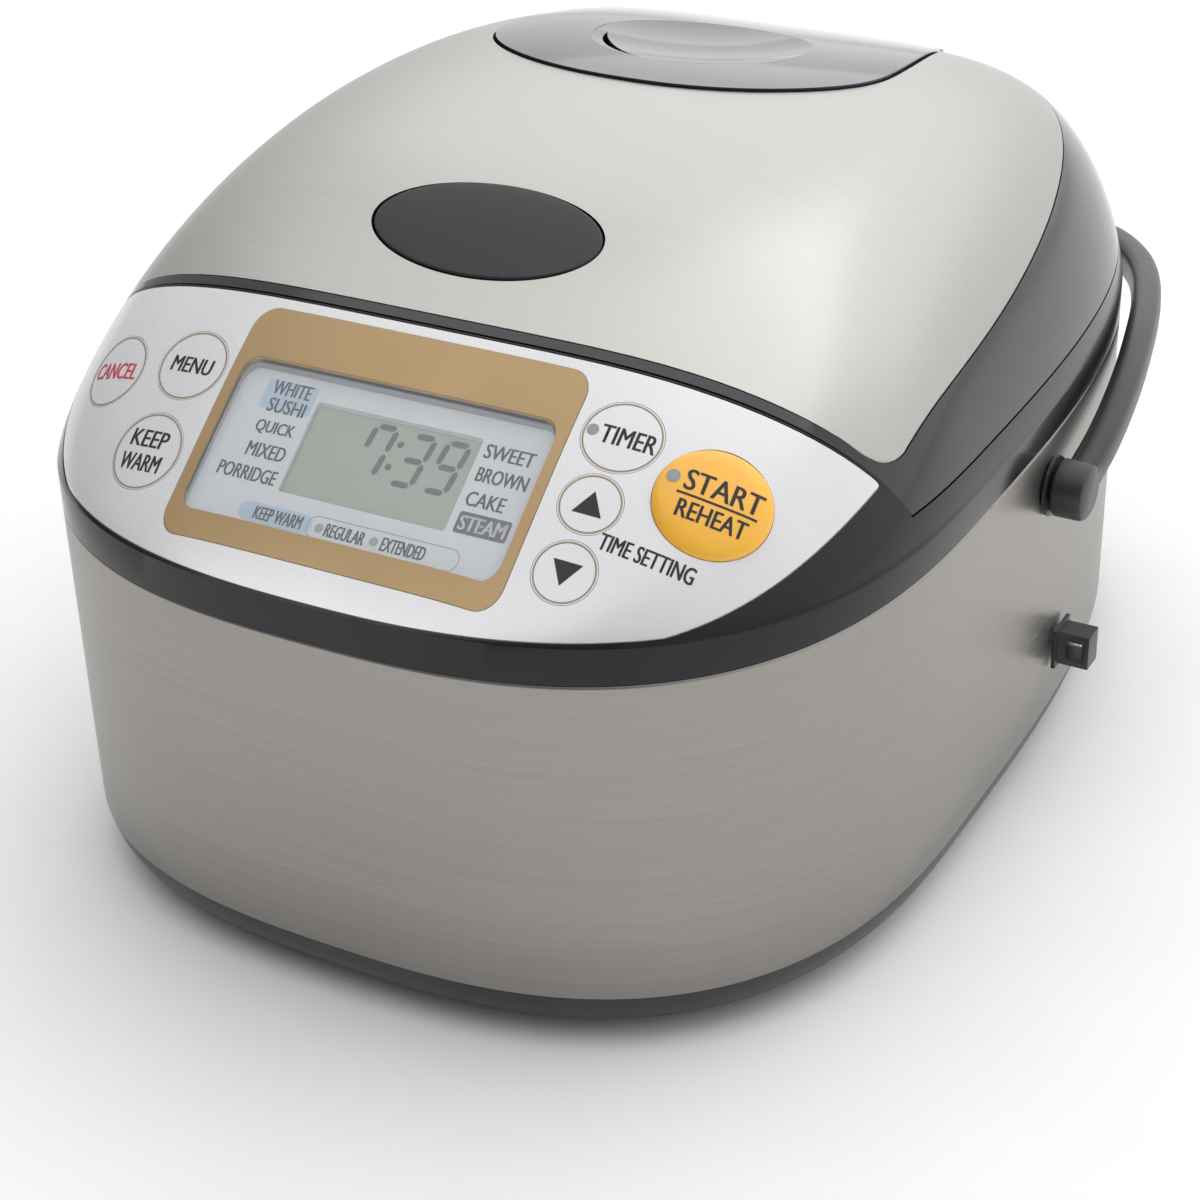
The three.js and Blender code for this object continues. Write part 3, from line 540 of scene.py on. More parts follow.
def plain_material(name, dark, light, roughness, spread, grain, bump=0.05, metallic=0.0, coat=0.0,
                   specular=0.5):
    nodes, links, shader = fresh_material(name)
    vector = object_coordinates(nodes, links, (1, 1, 1))
    broad = noise(nodes, links, vector, 18.0)
    fine = noise(nodes, links, vector, grain, 6.0)
    links.new(tinted(nodes, links, broad, dark, light), shader.inputs["Base Color"])
    links.new(between(nodes, links, fine, roughness - spread, roughness + spread), shader.inputs["Roughness"])
    shader.inputs["Metallic"].default_value = metallic
    shader.inputs["Specular IOR Level"].default_value = specular
    shader.inputs["Coat Weight"].default_value = coat
    shader.inputs["Coat Roughness"].default_value = 0.05
    bumped(nodes, links, shader, fine, bump, 0.0002)


def brushed_material(name, dark, light, roughness, scale, anisotropy):
    nodes, links, shader = fresh_material(name)
    streaks = noise(nodes, links, object_coordinates(nodes, links, scale), 1.0, 8.0)
    broad = noise(nodes, links, object_coordinates(nodes, links, (6, 6, 2)), 1.0)
    scaled = multiplied(nodes, links, broad, 0.25)
    mix = multiplied(nodes, links, streaks, 0.75, scaled)
    links.new(tinted(nodes, links, mix, dark, light), shader.inputs["Base Color"])
    links.new(between(nodes, links, streaks, roughness - 0.05, roughness + 0.07), shader.inputs["Roughness"])
    shader.inputs["Metallic"].default_value = 1.0
    shader.inputs["Anisotropic"].default_value = anisotropy
    tangent = nodes.new("ShaderNodeTangent")
    tangent.direction_type = "RADIAL"
    tangent.axis = "Z"
    links.new(tangent.outputs[0], shader.inputs["Tangent"])
    bumped(nodes, links, shader, streaks, 0.12, 0.00006)


def window_material():
    nodes, links, shader = fresh_material("clear_window")
    vector = object_coordinates(nodes, links, (1, 1, 1))
    haze = noise(nodes, links, vector, 60.0)
    links.new(between(nodes, links, haze, 0.02, 0.05), shader.inputs["Roughness"])
    shader.inputs["Base Color"].default_value = (0.9, 0.92, 0.94, 1)
    shader.inputs["Alpha"].default_value = 0.1


# The body's steel is the lid's steel painted darker: painted shade standing in for the shadowed floor that the
# body's sides reflect.
brushed_material("body_steel_painted_shade", (0.30, 0.283, 0.262), (0.365, 0.347, 0.325), 0.34, (14, 14, 2600), 0.55)
brushed_material("lid_steel", (0.45, 0.44, 0.415), (0.49, 0.48, 0.452), 0.33, (7, 1300, 7), 0.3)
plain_material("gloss_black", (0.010, 0.009, 0.012), (0.015, 0.014, 0.018),
               0.1, 0.03, 700.0, 0.02, specular=0.65)
plain_material("frame_black", (0.009, 0.008, 0.010), (0.013, 0.012, 0.015),
               0.16, 0.03, 700.0, 0.02, specular=0.36)
plain_material("vent_black", (0.028, 0.032, 0.038), (0.04, 0.045, 0.052), 0.1, 0.03, 700.0, 0.02, coat=0.5)
plain_material("satin_black", (0.02, 0.02, 0.021), (0.034, 0.033, 0.034), 0.36, 0.06, 1400.0, 0.12)
plain_material("button_black", (0.015, 0.013, 0.016), (0.022, 0.020, 0.022),
               0.33, 0.05, 1500.0, 0.1, specular=0.4)
plain_material("pearl", (0.70, 0.70, 0.715), (0.78, 0.78, 0.795),
               0.3, 0.05, 2600.0, 0.03, metallic=0.3, coat=0.1)
plain_material("gold", (0.40, 0.27, 0.135), (0.46, 0.315, 0.16), 0.36, 0.05, 2200.0, 0.04, metallic=0.5)
plain_material("gold_line", (0.30, 0.22, 0.12), (0.36, 0.27, 0.15), 0.4, 0.05, 2200.0, 0.02, metallic=0.3)
plain_material("lcd", (0.31, 0.34, 0.29), (0.37, 0.40, 0.34), 0.22, 0.04, 600.0, 0.01, coat=0.3)
plain_material("lcd_digit", (0.03, 0.075, 0.08), (0.045, 0.10, 0.105), 0.4, 0.05, 900.0, 0.01)
plain_material("amber", (1.0, 0.47, 0.035), (1.0, 0.56, 0.065), 0.24, 0.04, 800.0, 0.02, coat=0.3)
plain_material("aluminium", (0.62, 0.63, 0.64), (0.72, 0.73, 0.74), 0.33, 0.06, 1200.0, 0.06, metallic=1.0)
plain_material("plated", (0.55, 0.56, 0.58), (0.66, 0.67, 0.68), 0.28, 0.05, 900.0, 0.05, metallic=1.0)
plain_material("pot_coating", (0.045, 0.045, 0.048), (0.075, 0.075, 0.08),
               0.42, 0.07, 2400.0, 0.15, metallic=0.3)
plain_material("rubber", (0.018, 0.018, 0.018), (0.035, 0.035, 0.035), 0.8, 0.08, 1600.0, 0.2)
plain_material("silicone", (0.42, 0.42, 0.40), (0.50, 0.50, 0.48), 0.6, 0.06, 900.0, 0.08)
plain_material("board", (0.01, 0.10, 0.04), (0.02, 0.16, 0.07), 0.4, 0.06, 500.0, 0.1)
PRINTS = [
    ("card", (0.62, 0.65, 0.68), (0.70, 0.73, 0.75)),
    ("card_blue", (0.40, 0.52, 0.66), (0.46, 0.58, 0.72)),
    # This grey is printed on the lamp dots and the pill line; on the display's well it is painted shade.
    ("grey_print_and_well_shade", (0.30, 0.31, 0.33), (0.36, 0.37, 0.39)),
    ("card_dark", (0.045, 0.05, 0.06), (0.06, 0.065, 0.075)),
    ("ink", (0.012, 0.012, 0.014), (0.022, 0.022, 0.025)),
    ("red_ink", (0.55, 0.03, 0.05), (0.65, 0.05, 0.08)),
    ("white_ink", (0.75, 0.77, 0.8), (0.82, 0.84, 0.86)),
]
for row in PRINTS:
    plain_material(*row, 0.5, 0.05, 900.0, 0.02)
window_material()


def show(thing, body, look, *nodes, slot=None):
    thing.data.materials.clear()
    thing.data.materials.append(LOOKS[look])
    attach(thing, body)
    if nodes:
        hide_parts(*nodes)
    return thing


def stand_in(thing, node, body, look, slot, **finish):
    """Finishes a solid as the visible piece for one CAD node."""
    return show(finish_shape(thing, node + "_fine", **finish), body, look, node, slot=slot)


# ---- Lower body ----
def steel_top(y):
    """The steel band's upper edge dips a little at the front."""
    return STEEL_HIGH + 0.9 - 2.3 * max(-y / BODY["front"], 0) ** 2 - 0.8 * max(y / BODY["rear"], 0)


def swept(name, profile, closed=True, top=None):
    """Carries a section of (inset, height) points round the plan outline; heights over 100 follow top."""
    vertices = []
    for inset, height in profile:
        for x, y in outline_ring(inset):
            z = height + (top(y) - STEEL_HIGH if top and height > 100 else 0)
            vertices.append((x, y, z))
    faces = band_faces(len(profile), OUTLINE_STEPS, closed)
    if not closed:
        vertices += [(0, 0, profile[0][1]), (0, 0, profile[-1][1])]
        faces += fan_faces(len(profile), OUTLINE_STEPS)
    return face_outward(new_object(name, vertices, faces))


def side_wrap():
    high = STEEL_HIGH
    profile = [(0.25, STEEL_LOW), (0.05, STEEL_LOW + 0.3), (0.0, 40), (0.0, 70), (0.0, 99), (0.0, high - 1.2)]
    profile += [(0.1, high - 0.6), (0.45, high - 0.15), (0.9, high)]
    profile += [(STEEL_SHEET, high), (STEEL_SHEET, 99), (STEEL_SHEET, STEEL_LOW)]
    wrap = swept("side_wrap", profile, top=steel_top)
    wrap = cut(wrap, box((-20.3, 205, 29.7), (20.3, 230, 56.3)))
    # The wrap takes the darker steel, painted shade for its reflection of the shadowed floor.
    stand_in(wrap, "side_wrap", "cooker_body", "body_steel_painted_shade", "brushed_steel", crease=40)


def base_tray():
    turns = [step * math.pi / 16 for step in range(9)]
    profile = [(14 - 13.4 * math.sin(turn), 3 + 13.6 * (1 - math.cos(turn))) for turn in turns]
    profile += [(0.75, STEEL_LOW - 0.2), (1.5, STEEL_LOW - 0.2), (1.5, 27), (3.6, 27), (3.6, 9), (9, 6)]
    tray = swept("tray", profile, closed=False)
    stand_in(tray, "base_tray", "cooker_body", "satin_black", "black_plastic", crease=40)


def cut_key_holes(thing, gap):
    for name, x, y, across, along in KEYS:
        thing = cut(thing, plug(surface_frame(x, y), across + gap, along + gap, -10, 10))
    return thing


def upper_frame():
    body = dome_solid(0, 112)
    body = cut(body, prism(lid_region(0), DECK_HIGH, 230))
    rim = outline_prism(0, DECK_LOW, SEAM_BODY)
    rim = cut(rim, outline_prism(3.2, 110, 140))
    rim = common(rim, prism(lid_region(-1), 100, 230))
    rim = common(rim, dome_solid(0, 112))
    body = join(body, rim)
    ahead_of_lid = [(x, y - 3) for x, y in parting_line(0)] + [(140, -200), (-140, -200)]
    body = cut(body, common(dome_solid(4.4, 100), prism(ahead_of_lid, 100, 230)))
    body = cut(body, cut(outline_prism(3.4, 100, DECK_LOW), hinge_rod(TROUGH + 2.5, -93, 93, 128)))
    recess = cut(prism(panel_region(-0.3), PANEL["low"] - 0.3, 220), dome_solid(PANEL["thickness"] + 0.3, 90))
    body = cut(body, common(recess, outline_prism(PANEL_RIM - 0.25, 100, 220)))
    body = cut(body, prism(panel_region(5), 100, 220))
    body = cut(body, hinge_rod(TROUGH, -90, 90, 128))
    body = cut(body, rod(DECK_HOLE, (0, POT_Y, 120), (0, POT_Y, 140), 160))
    body = cut(body, box((-12.5, -63.4, 120), (12.5, -50.5, 140)))
    body = cut_key_holes(body, 0.6)
    turns = [-1 + 0.6 * step for step in range(6)]
    ear = [(172, 130), (186, 130.5), (199, 131.8), (203, 130.5)]
    ear += [(HINGE_Y + 6 * math.cos(turn), HINGE_Z + 5.6 * math.sin(turn)) for turn in turns]
    ear += [(186, 138), (174, 135)]
    for low in (-EAR_X - EAR_WIDTH, EAR_X):
        body = join(body, slab_along_x(ear, low, low + EAR_WIDTH))
    return cut(body, hinge_rod(HINGE_BORE, -64, 64, 48))


def tuck_behind_steel(mesh):
    """Lifts the frame's lowest edge to just above the steel band, so that it follows the steel's top edge."""
    for vertex in mesh.vertices:
        if vertex.co.z < 112.5:
            vertex.co.z = steel_top(vertex.co.y) + 0.15


def frame_piece():
    body = upper_frame()
    tuck_behind_steel(body.data)
    stand_in(body, "upper_frame", "cooker_body", "frame_black", "gloss_black", analytic=True)


def sheet_region(top, bottom, region, low=100):
    sheet = cut(dome_solid(top, 92), dome_solid(bottom, 86))
    return common(sheet, prism(region, low, 225))


def control_panel():
    sheet = sheet_region(0, PANEL["thickness"], panel_region(0), PANEL["low"])
    sheet = common(sheet, outline_prism(PANEL_RIM, 100, 220))
    sheet = cut(sheet, prism(rounded_rectangle(BEZEL, 0.15), 100, 225))
    sheet = cut_key_holes(sheet, 0.15)
    stand_in(sheet, "control_panel", "cooker_body", "pearl", "pearl_plastic", analytic=True)


def key_pieces():
    for name, x, y, across, along in KEYS:
        matrix = surface_frame(x, y)
        if name == "key_start":
            profile = [(0, -4), (1, -4), (1, -1.1)]
            for turn in range(8, 90, 6):
                inward, upward = math.cos(math.radians(turn)), math.sin(math.radians(turn))
                profile.append((inward ** 0.8, 2.0 * upward ** 1.2 - 0.6 * inward ** 6))
            profile.append((0, 2.0))
            key = oval(matrix, across, along, profile)
            stand_in(key, name, name, "amber", "amber_plastic", crease=50)
            continue
        key = common(plug(matrix, across, along, -4, 6), dome_solid(0, 90))
        stand_in(key, name, name, "pearl", "pearl_plastic", analytic=True)


CARD_TOP_Z = dome_height(0, WINDOW["high"]) - CARD_DEPTH
CARD_RISE = CARD_TOP_Z + CARD_DEPTH - dome_height(0, WINDOW["low"])
CARD_SLOPE = math.atan(CARD_RISE / (WINDOW["high"] - WINDOW["low"]))


def card_height(y):
    return CARD_TOP_Z + math.tan(CARD_SLOPE) * (y - WINDOW["high"])


def card_slab(part, grow, low, high):
    """A flat plate lying in the card's plane, between two depths measured upwards from it."""
    points = rounded_rectangle(part, grow)
    count = len(points)
    vertices = [(x, y, card_height(y) + level) for level in (low, high) for x, y in points]
    return face_outward(new_object("slab", vertices, cap_faces(2, count) + band_faces(2, count)))


CARD = dict(half_width=49.2, low=-119.0, high=-78.5, corner=2.0)
LCD = dict(half_width=25.3, low=-106.5, high=-85.3, corner=0.8, middle=2.2)


def display():
    face = sheet_region(-0.12, PANEL["thickness"], rounded_rectangle(BEZEL))
    face = cut(face, prism(rounded_rectangle(WINDOW), 90, 230))
    stand_in(face, "display_bezel", "cooker_body", "gold", "gold_film", analytic=True)
    well = prism(rounded_rectangle(WINDOW, 1.3), 100, 225)
    well = cut(well, prism(rounded_rectangle(WINDOW), 90, 230))
    well = common(well, dome_solid(0.7, 90))
    well = cut(well, card_slab(dict(half_width=70, low=-135, high=-60, corner=1), 0, -60, 0.05))
    # The well's walls are coloured grey: painted shade for the shadow that falls on the light walls of the recess.
    show(finish_shape(well, "display_well"), "cooker_body", "grey_print_and_well_shade", slot="gold_film")
    pane = sheet_region(0.25, 1.2, rounded_rectangle(WINDOW, -0.05))
    stand_in(pane, "display_window", "cooker_body", "clear_window", "clear_window", analytic=True)
    card = cut(card_slab(CARD, 0, -1.2, 0), card_slab(LCD, 0, -5, 5))
    stand_in(card, "display_card", "cooker_body", "card", "card_plastic")
    lcd = card_slab(LCD, 1.5, -4.0, -1.3)
    stand_in(lcd, "lcd_module", "cooker_body", "lcd", "lcd_plastic")


# ---- Lid ----
def button_hole():
    return plug(BUTTON_FRAME, BUTTON["half_width"] + 0.6, BUTTON["half_depth"] + 0.6, -14, 12, 160)


def lid_shell():
    shell = common(dome_solid(0, 112), prism(lid_region(0.5), SEAM_LID, 230))
    recess = cut(prism(plate_region(0.35), 100, 230), dome_solid(1.3, 80))
    shell = cut(shell, recess)
    shell = cut(shell, common(dome_solid(SHELL_WALL, 90), prism(lid_region(3.6), 80, 230)))
    vent_cut = prism(vent_region(0.5), 95, 235)
    shell = cut(shell, vent_cut)
    pocket = cut(common(dome_solid(1.4, 90), prism(vent_region(2.8), 100, 230)), dome_solid(13, 80))
    pocket = cut(pocket, cut(prism(vent_region(0.5), 95, 235), dome_solid(10.8, 80)))
    shell = join(shell, pocket)
    shell = cut(shell, rod(10, (0, STEAM_Y, 150), (0, STEAM_Y, 230)))
    shell = cut(shell, button_hole())
    lug = [(196, 137), (198, 132.5), (203, 130.5), (208, 132.5), (210, 137), (210, 170), (196, 170)]
    for side, low in ((-1, -LUG_X - EAR_WIDTH), (1, LUG_X)):
        shell = join(shell, common(slab_along_x(lug, low, low + EAR_WIDTH), dome_solid(2, 90)))
        shell = cut(shell, hinge_rod(8, side * 49, side * 55))
    shell = cut(shell, hinge_rod(HINGE_BORE, -64, 64, 48))
    stand_in(shell, "lid_shell", "lid", "gloss_black", "gloss_black", analytic=True)


def lid_plate():
    sheet = sheet_region(0, 1.0, plate_region(0))
    sheet = cut(sheet, prism(vent_region(0.9), 100, 230))
    sheet = cut(sheet, button_hole())
    stand_in(sheet, "lid_plate", "lid", "lid_steel", "lid_steel", analytic=True)


def vent_set():
    slab = sheet_region(-0.8, 6.5, vent_region(0))
    height = dome_height(0, DISH["y"], -0.8) - 0.2
    matrix = Matrix.Translation((0, DISH["y"], height)) @ Matrix.Rotation(DISH["tilt"], 4, "X")
    shares = [i / 14 for i in range(1, 15)]
    profile = [(0, -DISH["depth"])] + [(r, -DISH["depth"] * (1 - r * r)) for r in shares] + [(1, 8), (0, 8)]
    slab = cut(slab, oval(matrix, DISH["radius"], DISH["radius"], profile, 160))
    outer, inner = [], []
    for step in range(25):
        angle = math.pi * (1.06 + 0.38 * step / 24)
        inner_radius = DISH["slot"] - 2.6 * math.sin(math.pi * step / 24) - 0.1
        outer.append((DISH["slot"] * math.cos(angle), DISH["y"] + DISH["slot"] * math.sin(angle)))
        inner.append((inner_radius * math.cos(angle), DISH["y"] + inner_radius * math.sin(angle)))
    slab = cut(slab, prism(outer + inner[::-1], 150, 230))
    stand_in(slab, "steam_vent_cap", "steam_vent_set", "vent_black", "gloss_black",
             analytic=True, bevel=0.5, crease=9, dished=True)


def lid_button():
    low = -BUTTON["thickness"]
    turns = [math.radians(turn) for turn in range(0, 91, 15)]
    crown = [(1 - 0.028 * (1 - math.cos(turn)), -0.75 + 0.75 * math.sin(turn)) for turn in turns]
    profile = [(0, low), (1, low)] + crown + [(0.9, 0.16), (0.75, 0.38), (0.5, 0.62), (0.25, 0.76), (0, 0.8)]
    top = oval(BUTTON_FRAME, BUTTON["half_width"], BUTTON["half_depth"], profile, 160)
    stand_in(top, "lid_button", "lid_button", "button_black", "black_plastic", crease=50)


# ---- Cooking parts ----
def round_pieces():
    """The pot, chamber, heater and inner lid, all turned on the pot's axis."""
    pot = [(0, 36.2), (74, 36.0), (82, 36.9), (88, 38.7), (92.4, 41.6), (95.4, 45.4), (97.0, 50.2),
           (97.5, 55.5), (97.5, 131.4), (102.6, 131.4), (102.95, 131.7), (103, 132.2), (102.7, 132.65),
           (102.2, 132.8), (97.2, 132.8), (96.3, 132.4), (95.9, 131.6), (95.9, 55.8), (95.4, 51),
           (93.9, 46.4), (91.2, 43.0), (87.2, 40.3), (81.6, 38.5), (74, 37.7), (0, 37.7)]
    gasket = [(97.5, 135.2), (98.6, 133.9), (100.4, 133.25), (102.3, 133.7), (103.5, 135.0), (103.6, 141.3),
              (97.5, 141.3)]
    lid_sheet = [(9, 137.5), (60, 137.4), (83, 137.4), (88, 137.9), (96.6, 139.0), (97, 139.6), (96.8, 140.1),
                 (88, 139.1), (83, 138.6), (60, 138.6), (9, 138.5)]
    chamber = [(18, 19.9), (95, 19.9), (99, 21.6), (101.4, 25), (102, 29), (102, 127.6), (100.9, 127.6),
               (100.9, 29), (99.6, 24.6), (95, 21), (18, 21)]
    plate = [(16, 29), (60, 29), (60, 21.5), (66, 21.5), (66, 29), (78, 29), (80, 31), (80, 34.8),
             (79.2, 35.6), (16, 35.6)]
    sensor = [(0, 24), (9, 24), (9, 27), (13.6, 27), (14, 27.4), (14, 34.8), (13.1, 35.6), (0, 35.7)]
    pieces = [("inner_pot", pot, False, "cooker_body", "pot_coating", "pot_coating"),
              ("lid_gasket", gasket, True, "lid", "silicone", "grey_rubber"),
              ("inner_lid", lid_sheet, True, "lid", "aluminium", "aluminium"),
              ("inner_chamber", chamber, True, "cooker_body", "aluminium", "aluminium"),
              ("heating_plate", plate, True, "cooker_body", "aluminium", "aluminium"),
              ("thermal_sensor", sensor, False, "thermal_sensor", "aluminium", "aluminium")]
    for node, profile, closed, body, look, slot in pieces:
        piece = turned(node, profile, 0, POT_Y, ROUND_STEPS, closed)
        stand_in(piece, node, body, look, slot, crease=35)
    for node, x, y in (("foot_1", -75, -72), ("foot_2", 75, -72), ("foot_3", -68, 150), ("foot_4", 68, 150)):
        foot = turned(node, [(0, 0.02), (8.3, 0.02), (9.0, 0.3), (9.4, 1.0), (9.4, 2.7), (0, 2.7)], x, y, 48)
        stand_in(foot, node, "cooker_body", "rubber", "foot_rubber", crease=50)
    cover_cup()
    springs()


def coil(node, centre, radius, wire, low, high, turns, body):
    """A coil spring of wire round a centre, between a low and a high end."""
    steps, sides = turns * 32, 10
    vertices = []
    for step in range(steps + 1):
        angle = 2 * math.pi * turns * step / steps
        middle = low + wire + (high - low - 2 * wire) * step / steps
        for side in range(sides):
            around = 2 * math.pi * side / sides
            reach = radius + wire * math.cos(around)
            vertices.append((centre[0] + reach * math.cos(angle), centre[1] + reach * math.sin(angle),
                             middle + wire * math.sin(around)))
    faces = band_faces(steps + 1, sides) + cap_faces(steps + 1, sides)
    spring = face_outward(new_object(node, vertices, faces))
    stand_in(spring, node, body, "plated", "plated_steel", crease=50)
    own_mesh(spring)


def springs():
    coil("sensor_spring", (0, POT_Y), 7, 0.8, 6.4, 23.6, 5, "cooker_body")
    coil("button_spring", (0, BUTTON["y"]), 6, 0.7, 144.4, 174.2, 6, "lid")


def cover_cup():
    """The lid's underside: a flat cover with a round cup over the pot."""
    low, high = SEAM_LID + 0.6, SEAM_LID + 3
    sheet = common(outline_prism(0, low, high), dome_solid(SHELL_WALL + 0.6, 90))
    sheet = common(sheet, prism(lid_region(4), 90, 230))
    sheet = common(sheet, box((-140, -100, 100), (140, PLATE["rear"], 200)))
    sheet = cut(sheet, rod(105, (0, POT_Y, low - 5), (0, POT_Y, high + 5), ROUND_STEPS))
    sheet = cut(sheet, box((-12.5, -63.5, 120), (12.5, -51.4, 150)))
    section = [(0, 144), (105, 144), (106, 143), (106, low), (104.5, low), (104.5, 142.4), (0, 142.4)]
    cup = turned("cup", section, 0, POT_Y, ROUND_STEPS)
    sheet = cut(join(sheet, cup), rod(10, (0, STEAM_Y, 130), (0, STEAM_Y, 160)))
    stand_in(sheet, "lid_inner_cover", "lid", "satin_black", "black_plastic")


# ---- Handle, bracket ----
def handle_path():
    right = [(137, 55, 99), (137, 78, 104.6), (134, 105, 109), (128.6, 133, 111), (121.6, 161, 110.5),
             (113, 186, 109), (102.5, 206, 107), (88, 223, 105), (66, 234, 104), (32, 238.4, 104)]
    left = [Vector((-x, y, z)) for x, y, z in right]
    return left + [Vector((0, 239, 104))] + [Vector(point) for point in reversed(right)]


def smooth_path(points, count):
    """A Catmull-Rom curve through the points, at even steps."""
    padded = [points[0] * 2 - points[1]] + points + [points[-1] * 2 - points[-2]]
    dense = []
    for i in range(1, len(padded) - 2):
        a, b, c, d = padded[i - 1:i + 3]
        for step in range(12):
            t = step / 12
            square, cube = 2 * a - 5 * b + 4 * c - d, 3 * b - a - 3 * c + d
            dense.append(0.5 * ((2 * b) + (c - a) * t + square * t * t + cube * t ** 3))
    dense.append(points[-1])
    lengths = [0.0]
    for before, after in zip(dense, dense[1:]):
        lengths.append(lengths[-1] + (after - before).length)
    even = []
    index = 0
    for step in range(count + 1):
        target = lengths[-1] * step / count
        while index < len(lengths) - 2 and lengths[index + 1] < target:
            index += 1
        share = (target - lengths[index]) / max(lengths[index + 1] - lengths[index], 1e-9)
        even.append(dense[index].lerp(dense[index + 1], min(share, 1)))
    return even


def squared(value):
    """A circle's sine or cosine, drawn out towards a rounded square."""
    return math.copysign(abs(value) ** HANDLE["power"], value)


def carry_handle():
    path = smooth_path(handle_path(), 150)
    sides = 28
    vertices = []
    for index, centre in enumerate(path):
        ahead = path[min(index + 1, len(path) - 1)] - path[max(index - 1, 0)]
        ahead.normalize()
        outward = ahead.cross(Vector((0, 0, 1))).normalized()
        up = outward.cross(ahead).normalized()
        for side in range(sides):
            angle = 2 * math.pi * side / sides
            across = squared(math.cos(angle)) * HANDLE["half_width"]
            tall = squared(math.sin(angle)) * HANDLE["half_height"]
            vertices.append(tuple(centre + outward * across + up * tall))
    faces = band_faces(len(path), sides) + cap_faces(len(path), sides)
    bail = face_outward(new_object("bail", vertices, faces))
    for side in (-1, 1):
        profile = [(0, 132.1), (7.6, 132.1), (8.5, 133), (8.5, 140.2), (8.0, 141.4), (6.8, 142), (0, 142)]
        lobe = turned("lobe", profile, 0, 0)
        turn = Matrix.Rotation(side * math.pi / 2, 4, "Y")
        lobe.data.transform(Matrix.Translation((0, PIVOT_Y, PIVOT_Z)) @ turn)
        bail = join(bail, lobe)
        ends = [(side * x, PIVOT_Y, PIVOT_Z) for x in (125, 139.3)]
        bail = cut(bail, rod(HANDLE["stud_hole"], *ends))
    stand_in(bail, "carry_handle", "carry_handle", "satin_black", "black_plastic", crease=38)


def spoon_bracket():
    foot = box((129.9, 66, 31.5), (131.2, 78, 44.5))
    loop = cut(box((131, 68, 32.5), (140.8, 76, 43.5)), box((133.6, 60, 35.2), (138.6, 90, 40.8)))
    bracket = join(foot, loop)
    stand_in(bracket, "spoon_bracket", "cooker_body", "satin_black", "black_plastic", bevel=0.6)


# ---- Printing ----
def panel_spot(x, y, lift=0.06):
    """Returns a function from flat (u, v) round a spot on the panel to a point on its surface."""
    matrix = surface_frame(x, y)
    normal = dome_normal(x, y)

    def on_surface(u, v):
        point = matrix @ Vector((u, v, 0))
        for turn in range(6):
            point += normal * ((dome_height(point.x, point.y) - point.z) * normal.z)
        return tuple(point + normal * lift)
    return on_surface


def start_spot(u, v):
    name, x, y, across, along = KEYS[-1]
    share = min(math.hypot(u / across, v / along), 1)
    height = 2.0 * max(1 - share ** 2.5, 0) ** 0.6
    return tuple(surface_frame(x, y) @ Vector((u, v, height + 0.08)))


def card_spot(u, v, lift=0.06):
    """u to the right and v down the card from the display's top edge."""
    y = WINDOW["high"] - v * math.cos(CARD_SLOPE)
    return (u, y, card_height(y) + lift)


def laid_on(name, shape, spot, look, body):
    """Cuts a flat bmesh of prints into small faces, so that it follows the surface it is laid on."""
    bmesh.ops.triangulate(shape, faces=shape.faces)
    for turn in range(3):
        long_edges = [edge for edge in shape.edges if edge.calc_length() > PRINT_STEP]
        if long_edges:
            bmesh.ops.subdivide_edges(shape, edges=long_edges, cuts=1)
    for vertex in shape.verts:
        vertex.co = spot(vertex.co.x, vertex.co.y)
    mesh = bpy.data.meshes.new(name)
    shape.to_mesh(mesh)
    shape.free()
    return show(finish_shape(add_object(name, mesh), name), body, look)


def outline_mesh(name, outlines, spot, look, body):
    """Flat shapes, each a list of (u, v), laid on a surface."""
    shape = bmesh.new()
    for points in outlines:
        shape.faces.new([shape.verts.new((u, v, 0)) for u, v in points])
    return laid_on(name, shape, spot, look, body)


def ring_mesh(name, across, along, line, spot, look, body, steps=96):
    vertices = []
    for grow in (0, line):
        for step in range(steps):
            angle = 2 * math.pi * step / steps
            vertices.append(spot((across + grow) * math.cos(angle), (along + grow) * math.sin(angle)))
    return show(finish_shape(new_object(name, vertices, band_faces(2, steps)), name), body, look)


def word_mesh(text):
    curve = bpy.data.curves.new("word", "FONT")
    curve.body = text
    curve.resolution_u = 3
    word = add_object("word", curve)
    mesh = evaluated_mesh(word)
    bpy.data.objects.remove(word)
    return mesh


def lettering(name, text, centre, width, height, spot, look, body, turn=0.0):
    """A word in a plain font, scaled to a width and height, thickened sideways and laid on a surface."""
    mesh = word_mesh(text)
    xs = [vertex.co.x for vertex in mesh.vertices]
    ys = [vertex.co.y for vertex in mesh.vertices]
    size = Matrix.Diagonal((width / (max(xs) - min(xs)), height / (max(ys) - min(ys)), 1, 1))
    middle = Matrix.Translation((-(max(xs) + min(xs)) / 2, -(max(ys) + min(ys)) / 2, 0))
    shape = bmesh.new()
    for shift in (-STROKE, 0, STROKE):
        copy = mesh.copy()
        copy.transform(Matrix.Translation((*centre, 0)) @ Matrix.Rotation(turn, 4, "Z")
                       @ Matrix.Translation((shift, 0, 0)) @ size @ middle)
        shape.from_mesh(copy)
        bpy.data.meshes.remove(copy)
    return laid_on(name, shape, spot, look, body)


def disc(radius, centre, steps=32):
    turns = [2 * math.pi * step / steps for step in range(steps)]
    return [(centre[0] + radius * math.cos(turn), centre[1] + radius * math.sin(turn)) for turn in turns]


